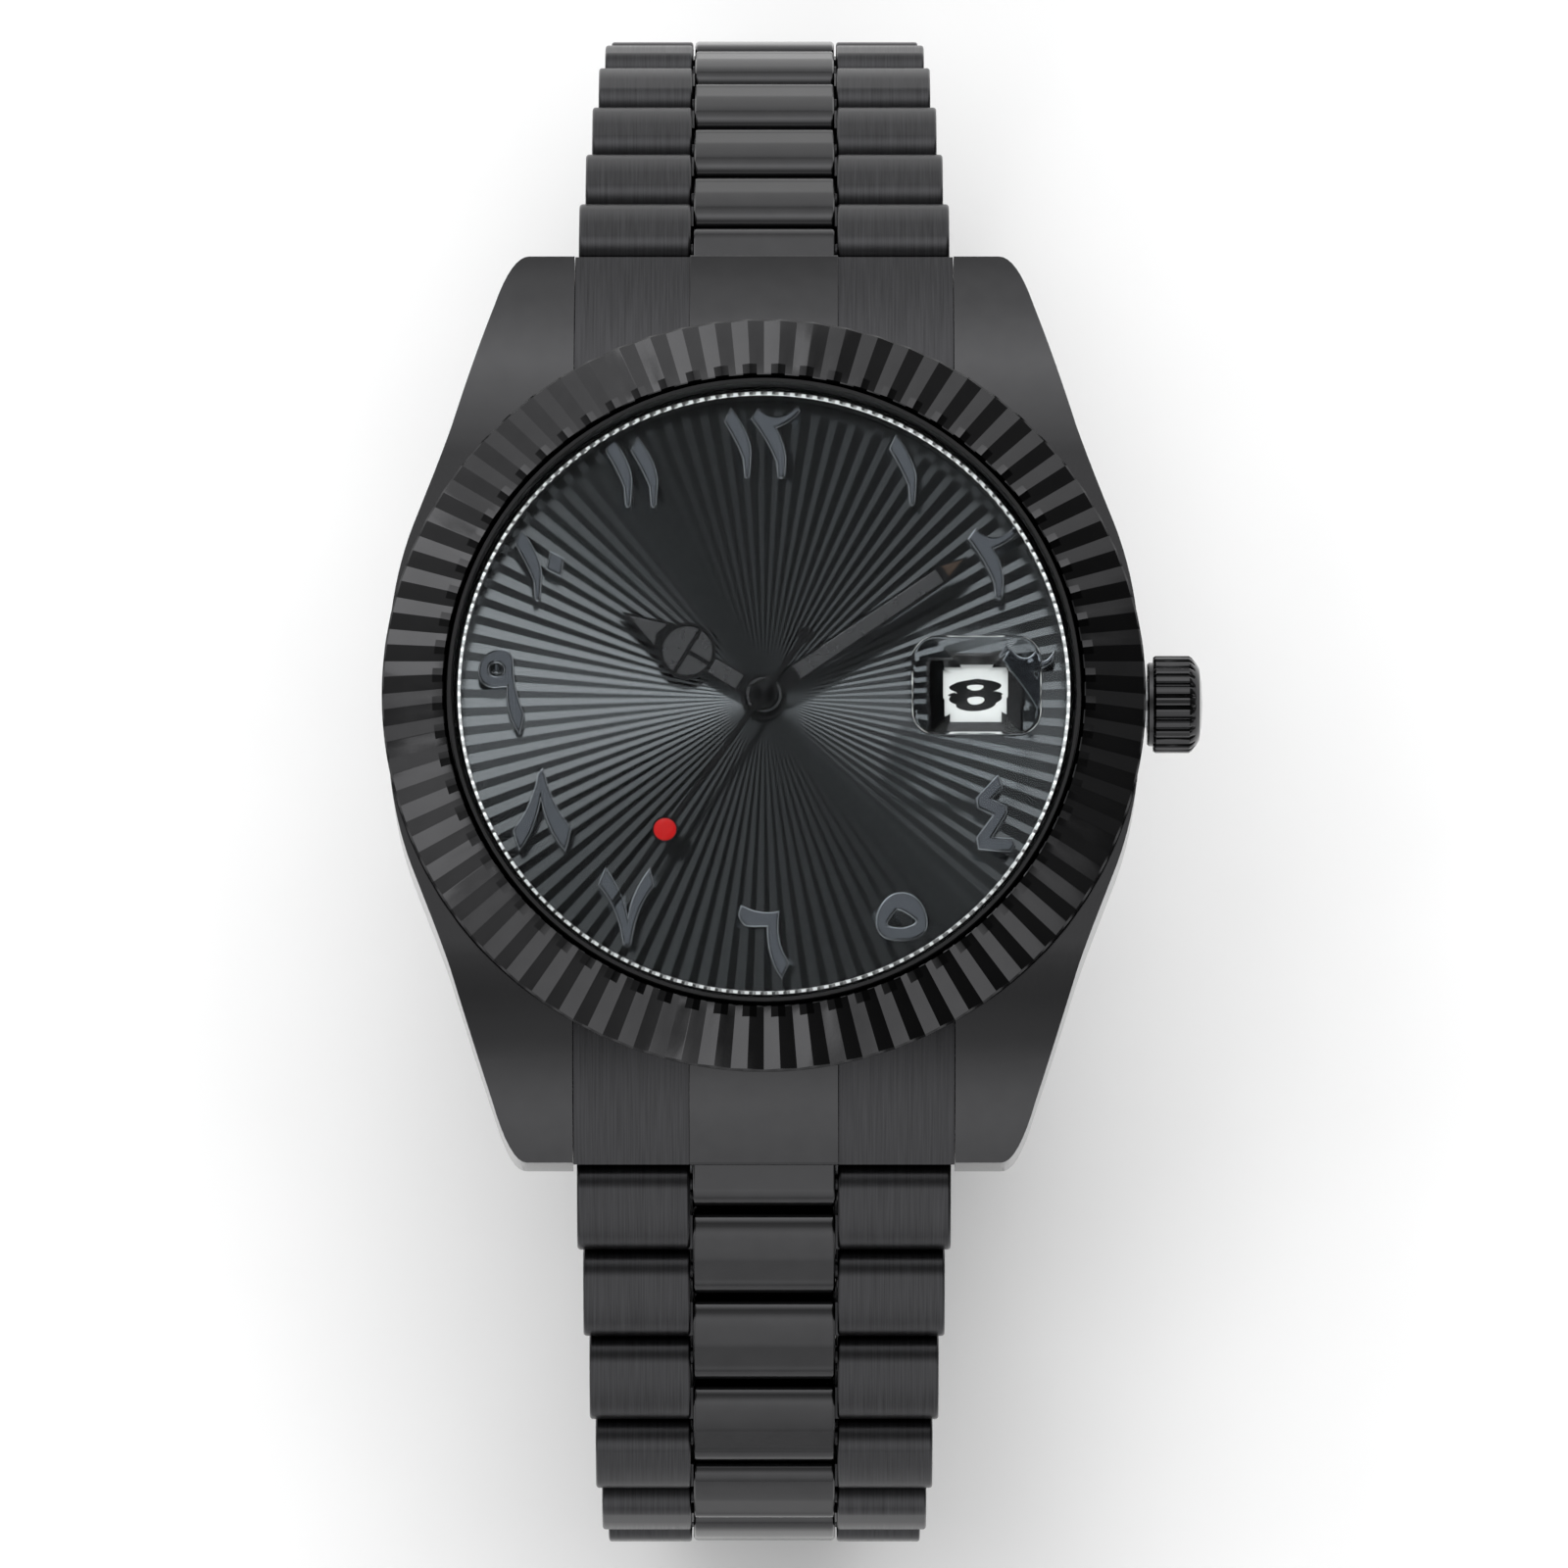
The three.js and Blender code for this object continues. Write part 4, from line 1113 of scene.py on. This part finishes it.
MASTER = master_link()
PINS = {j["child"]: Vector(j["pos_m"]) / MM for j in frame["joints"] if "pos_m" in j}

for hour, sign, next_pin in (("12", 1, PINS["clasp_cover"]), ("6", -1, None)):
    names = [f"link_{hour}_{k:02d}" for k in range(1, 12)]
    for k, name in enumerate(names):
        here = PINS[name]
        after = PINS[names[k + 1]] if k < 10 else next_pin
        if after is None:
            after = sum(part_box("clasp_spring_bar"), Vector()) / 2 / MM
        along = Vector((0, sign * (after.y - here.y), after.z - here.z))
        tilt = math.atan2(along.z, along.y)
        low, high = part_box(name)
        inputs = {
            "Inner": OUTER_INNER,
            "Drawn": DRAWN_HALF,
            "Half Width": high.x / MM,
            "Pin": (0.0, sign * here.y, here.z),
            "Tilt": (tilt, 0.0, 0.0),
            "Turn": (0.0, 0.0, 0.0 if sign > 0 else math.pi),
            "Outer Finish": BRUSHED,
            "Centre Finish": BLACK,
        }
        mesh = grown(LINK, MASTER.copy(), inputs)
        piece("bracelet_" + name, mesh, name, None, name)


def end_link():
    """Fills the gap between two lugs: brushed shoulders and a polished plate, cut to the case."""
    tilt = math.radians(26)
    along, out = (math.cos(tilt), -math.sin(tilt)), (math.sin(tilt), math.cos(tilt))

    def at(s, n):
        return (24.87 + s * along[0] + n * out[0], -3.24 + s * along[1] + n * out[1])

    shoulder = bend((14.6, 2.48), (19.5, 2.48), at(-1.42, 1.5), 20)
    shoulder += [at(-1.42, 1.5), at(-1.42, -1.2), (20.5, -3.7), (14.6, -3.4)]
    raised = bend((14.6, 2.6), (19.7, 2.73), at(-1.67, 1.85), 20)
    raised += bend(at(-1.67, 1.85), at(-1.42, 1.8), at(-1.42, 1.5), 5)
    raised += [at(-1.42, 1.5), at(-1.42, 0), (20, -1)]
    tongue = [at(-2.42, -1.1), at(-2.42, 1.2)]
    tongue += arc((24.87, -3.24), 1.3, 92 - 26, -92 - 26, 22)
    core = drum(18.45, -8, 6, 160)
    base = carved(prism(shoulder, -9.97, 9.97), core.copy())
    plate = carved(prism(raised, -3.92, 3.92), core.copy())
    base, plate = softened(base, 0.14, 35, 2), softened(plate, 0.24, 35, 4)
    tongue = softened(prism(tongue, -CENTRE_HALF, CENTRE_HALF), 0.15, 40, 2)
    return two_toned([base], [plate, tongue])


END_LINK = end_link()
for hour, turn in (("12", 0.0), ("6", math.pi)):
    mesh = laid(END_LINK, Matrix.Rotation(turn, 4, "Z"))
    name = "end_link_" + hour
    piece("fitted_" + name, mesh, "head", [BRUSHED, BLACK], name, STEM)

# ---- clasp and small parts: the CAD shapes with their edges eased ----


def eased(name, node, finish, width):
    """A piece from a CAD node's own shape, merged, with its edges rounded."""
    mesh = frame["nodes"][node].data.copy()
    mesh.transform(Matrix.Scale(1 / MM, 4))
    piece(name, softened(mesh, width), node, finish, node)


eased("folding_cover", "clasp_cover", BRUSHED, 0.16)
eased("long_clasp_blade", "clasp_long_blade", STEEL, 0.08)
eased("short_clasp_blade", "clasp_short_blade", STEEL, 0.08)
for side in ("right", "left"):
    eased(side + "_push_button", "clasp_button_" + side, BLACK, 0.2)

# nodes that keep their CAD shapes, by finish
CARRIED = (
    (RUBBER, ("crystal_gasket", "crown_gasket", "back_gasket")),
    (BRASS, ("main_plate", "mainspring_barrel", "center_wheel", "seconds_wheel", "balance_wheel")),
    (WHITE, ("movement_holder",)),
    (STEEL, ("train_bridge", "balance_bridge", "rotor", "winding_stem", "winding_pinion")),
    (STEEL, ("crown_tube", "spring_bar_12", "spring_bar_6", "clasp_spring_bar")),
)
for finish, nodes in CARRIED:
    for node in nodes:
        data = frame["nodes"][node].data
        data.materials.clear()
        data.materials.append(finish)

# ---- floor, light and camera ----


def studio_floor():
    """A pale painted board under the watch, two metres square."""
    corners = [(-1, -1, 0), (1, -1, 0), (1, 1, 0), (-1, 1, 0)]
    floor = shown("floor", mesh_of(corners, [[0, 1, 2, 3]]))
    floor.data.materials.append(BOARD)


def softbox(name, place, size, radiance):
    """A rectangular lamp that faces the middle of the watch."""
    lamp = bpy.data.lights.new(name, "AREA")
    lamp.shape = "RECTANGLE"
    lamp.size, lamp.size_y = size
    lamp.energy = radiance * math.pi * size[0] * size[1]
    thing = shown(name, lamp)
    thing.location = place
    aim = Vector((0, 0, STEM * MM)) - Vector(place)
    thing.rotation_euler = aim.to_track_quat("-Z", "Y").to_euler()
    return thing


def sky():
    """A long overhead bank, narrow in the middle so that side-facing metal stays dark."""
    world = bpy.data.worlds.new("studio")
    world.use_nodes = True
    tree = world.node_tree
    tree.nodes.clear()
    place = put(tree, "ShaderNodeTexCoord").outputs["Generated"]
    x, y, z = put(tree, "ShaderNodeSeparateXYZ", {"Vector": place}).outputs
    square = put(tree, "ShaderNodeMath", {0: y, 1: y}, operation="MULTIPLY")
    width = put(tree, "ShaderNodeMath", {0: square, 1: 2.2, 2: 0.1}, operation="MULTIPLY_ADD")
    away = put(tree, "ShaderNodeMath", {0: x}, operation="ABSOLUTE")
    share = put(tree, "ShaderNodeMath", {0: away, 1: width}, operation="DIVIDE")
    across = put(
        tree,
        "ShaderNodeMapRange",
        {"Value": share, "From Min": 0.04, "From Max": 0.58, "To Min": 1.0, "To Max": 0.0},
        interpolation_type="SMOOTHSTEP",
    )
    # beside the bank the room is dim overhead and lighter lower down, more so on the left
    low = put(
        tree,
        "ShaderNodeMapRange",
        {"Value": z, "From Min": 0.78, "From Max": 0.5, "To Min": 0.11, "To Max": 0.3},
    )
    left = put(
        tree,
        "ShaderNodeMapRange",
        {"Value": x, "From Min": -0.3, "From Max": 0.3, "To Min": 1.8, "To Max": 0.4},
    )
    room = put(tree, "ShaderNodeMath", {0: low, 1: left}, operation="MULTIPLY")
    across = put(tree, "ShaderNodeMath", {0: across, 1: room}, operation="MAXIMUM")
    height = put(
        tree,
        "ShaderNodeMapRange",
        {"Value": z, "From Min": 0.0, "From Max": 0.3, "To Min": 0.6, "To Max": 1.0},
    )
    run = put(tree, "ShaderNodeMapRange", {"Value": y, "From Min": -1.0, "From Max": 1.0})
    ramp = put(tree, "ShaderNodeValToRGB", {"Fac": run})
    stops = ramp.color_ramp.elements
    # along the bank, from 6 o'clock to 12 o'clock: where, and how bright out of 3
    bank = ((0.0, 1.2), (0.13, 1.6), (0.2, 1.45), (0.33, 0.75), (0.45, 0.8), (0.58, 1.3))
    bank += ((0.75, 2.0), (0.82, 2.4), (0.9, 1.8), (0.95, 1.4), (1.0, 1.2))
    for k, (where, bright) in enumerate(bank):
        stop = stops[k] if k < 1 else stops.new(where) if k < len(bank) - 1 else stops[-1]
        stop.position = where
        stop.color = [bright / 3] * 3 + [1]
    both = put(tree, "ShaderNodeMath", {0: across, 1: height}, operation="MULTIPLY")
    level = put(tree, "ShaderNodeMath", {0: both, 1: 3.0}, operation="MULTIPLY")
    back = put(tree, "ShaderNodeBackground", {"Color": ramp, "Strength": level})
    put(tree, "ShaderNodeOutputWorld", {"Surface": back})
    bpy.context.scene.world = world


def camera():
    """Looks down on the dial from ten degrees towards 6 o'clock, through a long lens."""
    lens = bpy.data.cameras.new("camera")
    lens.sensor_width = 36.0
    lens.lens = 395.0
    lens.clip_start, lens.clip_end = 0.05, 20
    view = shown("camera", lens)
    tilt = math.radians(10)
    up = Vector((0, math.cos(tilt), math.sin(tilt)))
    back = Vector((0, -math.sin(tilt), math.cos(tilt)))
    rim = Vector((0, 0, STEM + 3.3))
    target = (rim + Vector((1.05, 0, 0)) - 4.75 * up) * MM
    view.location = target + back * 0.9
    view.rotation_euler = (tilt, 0, 0)
    bpy.context.scene.camera = view


studio_floor()
for name, place in (
    ("bank left of twelve", (-0.6, 0.9, 0.52)),
    ("bank left of six", (-0.66, -0.72, 0.72)),
):
    softbox(name, place, (0.45, 0.35), 1.7)
fill = softbox("floor fill", (0, 0.3, 1.6), (1.4, 1.4), 3.0)
# metal and glass don't mirror this lamp
fill.visible_glossy = False
fill.visible_transmission = False
sky()
camera()
bpy.context.scene.view_settings.view_transform = "Standard"
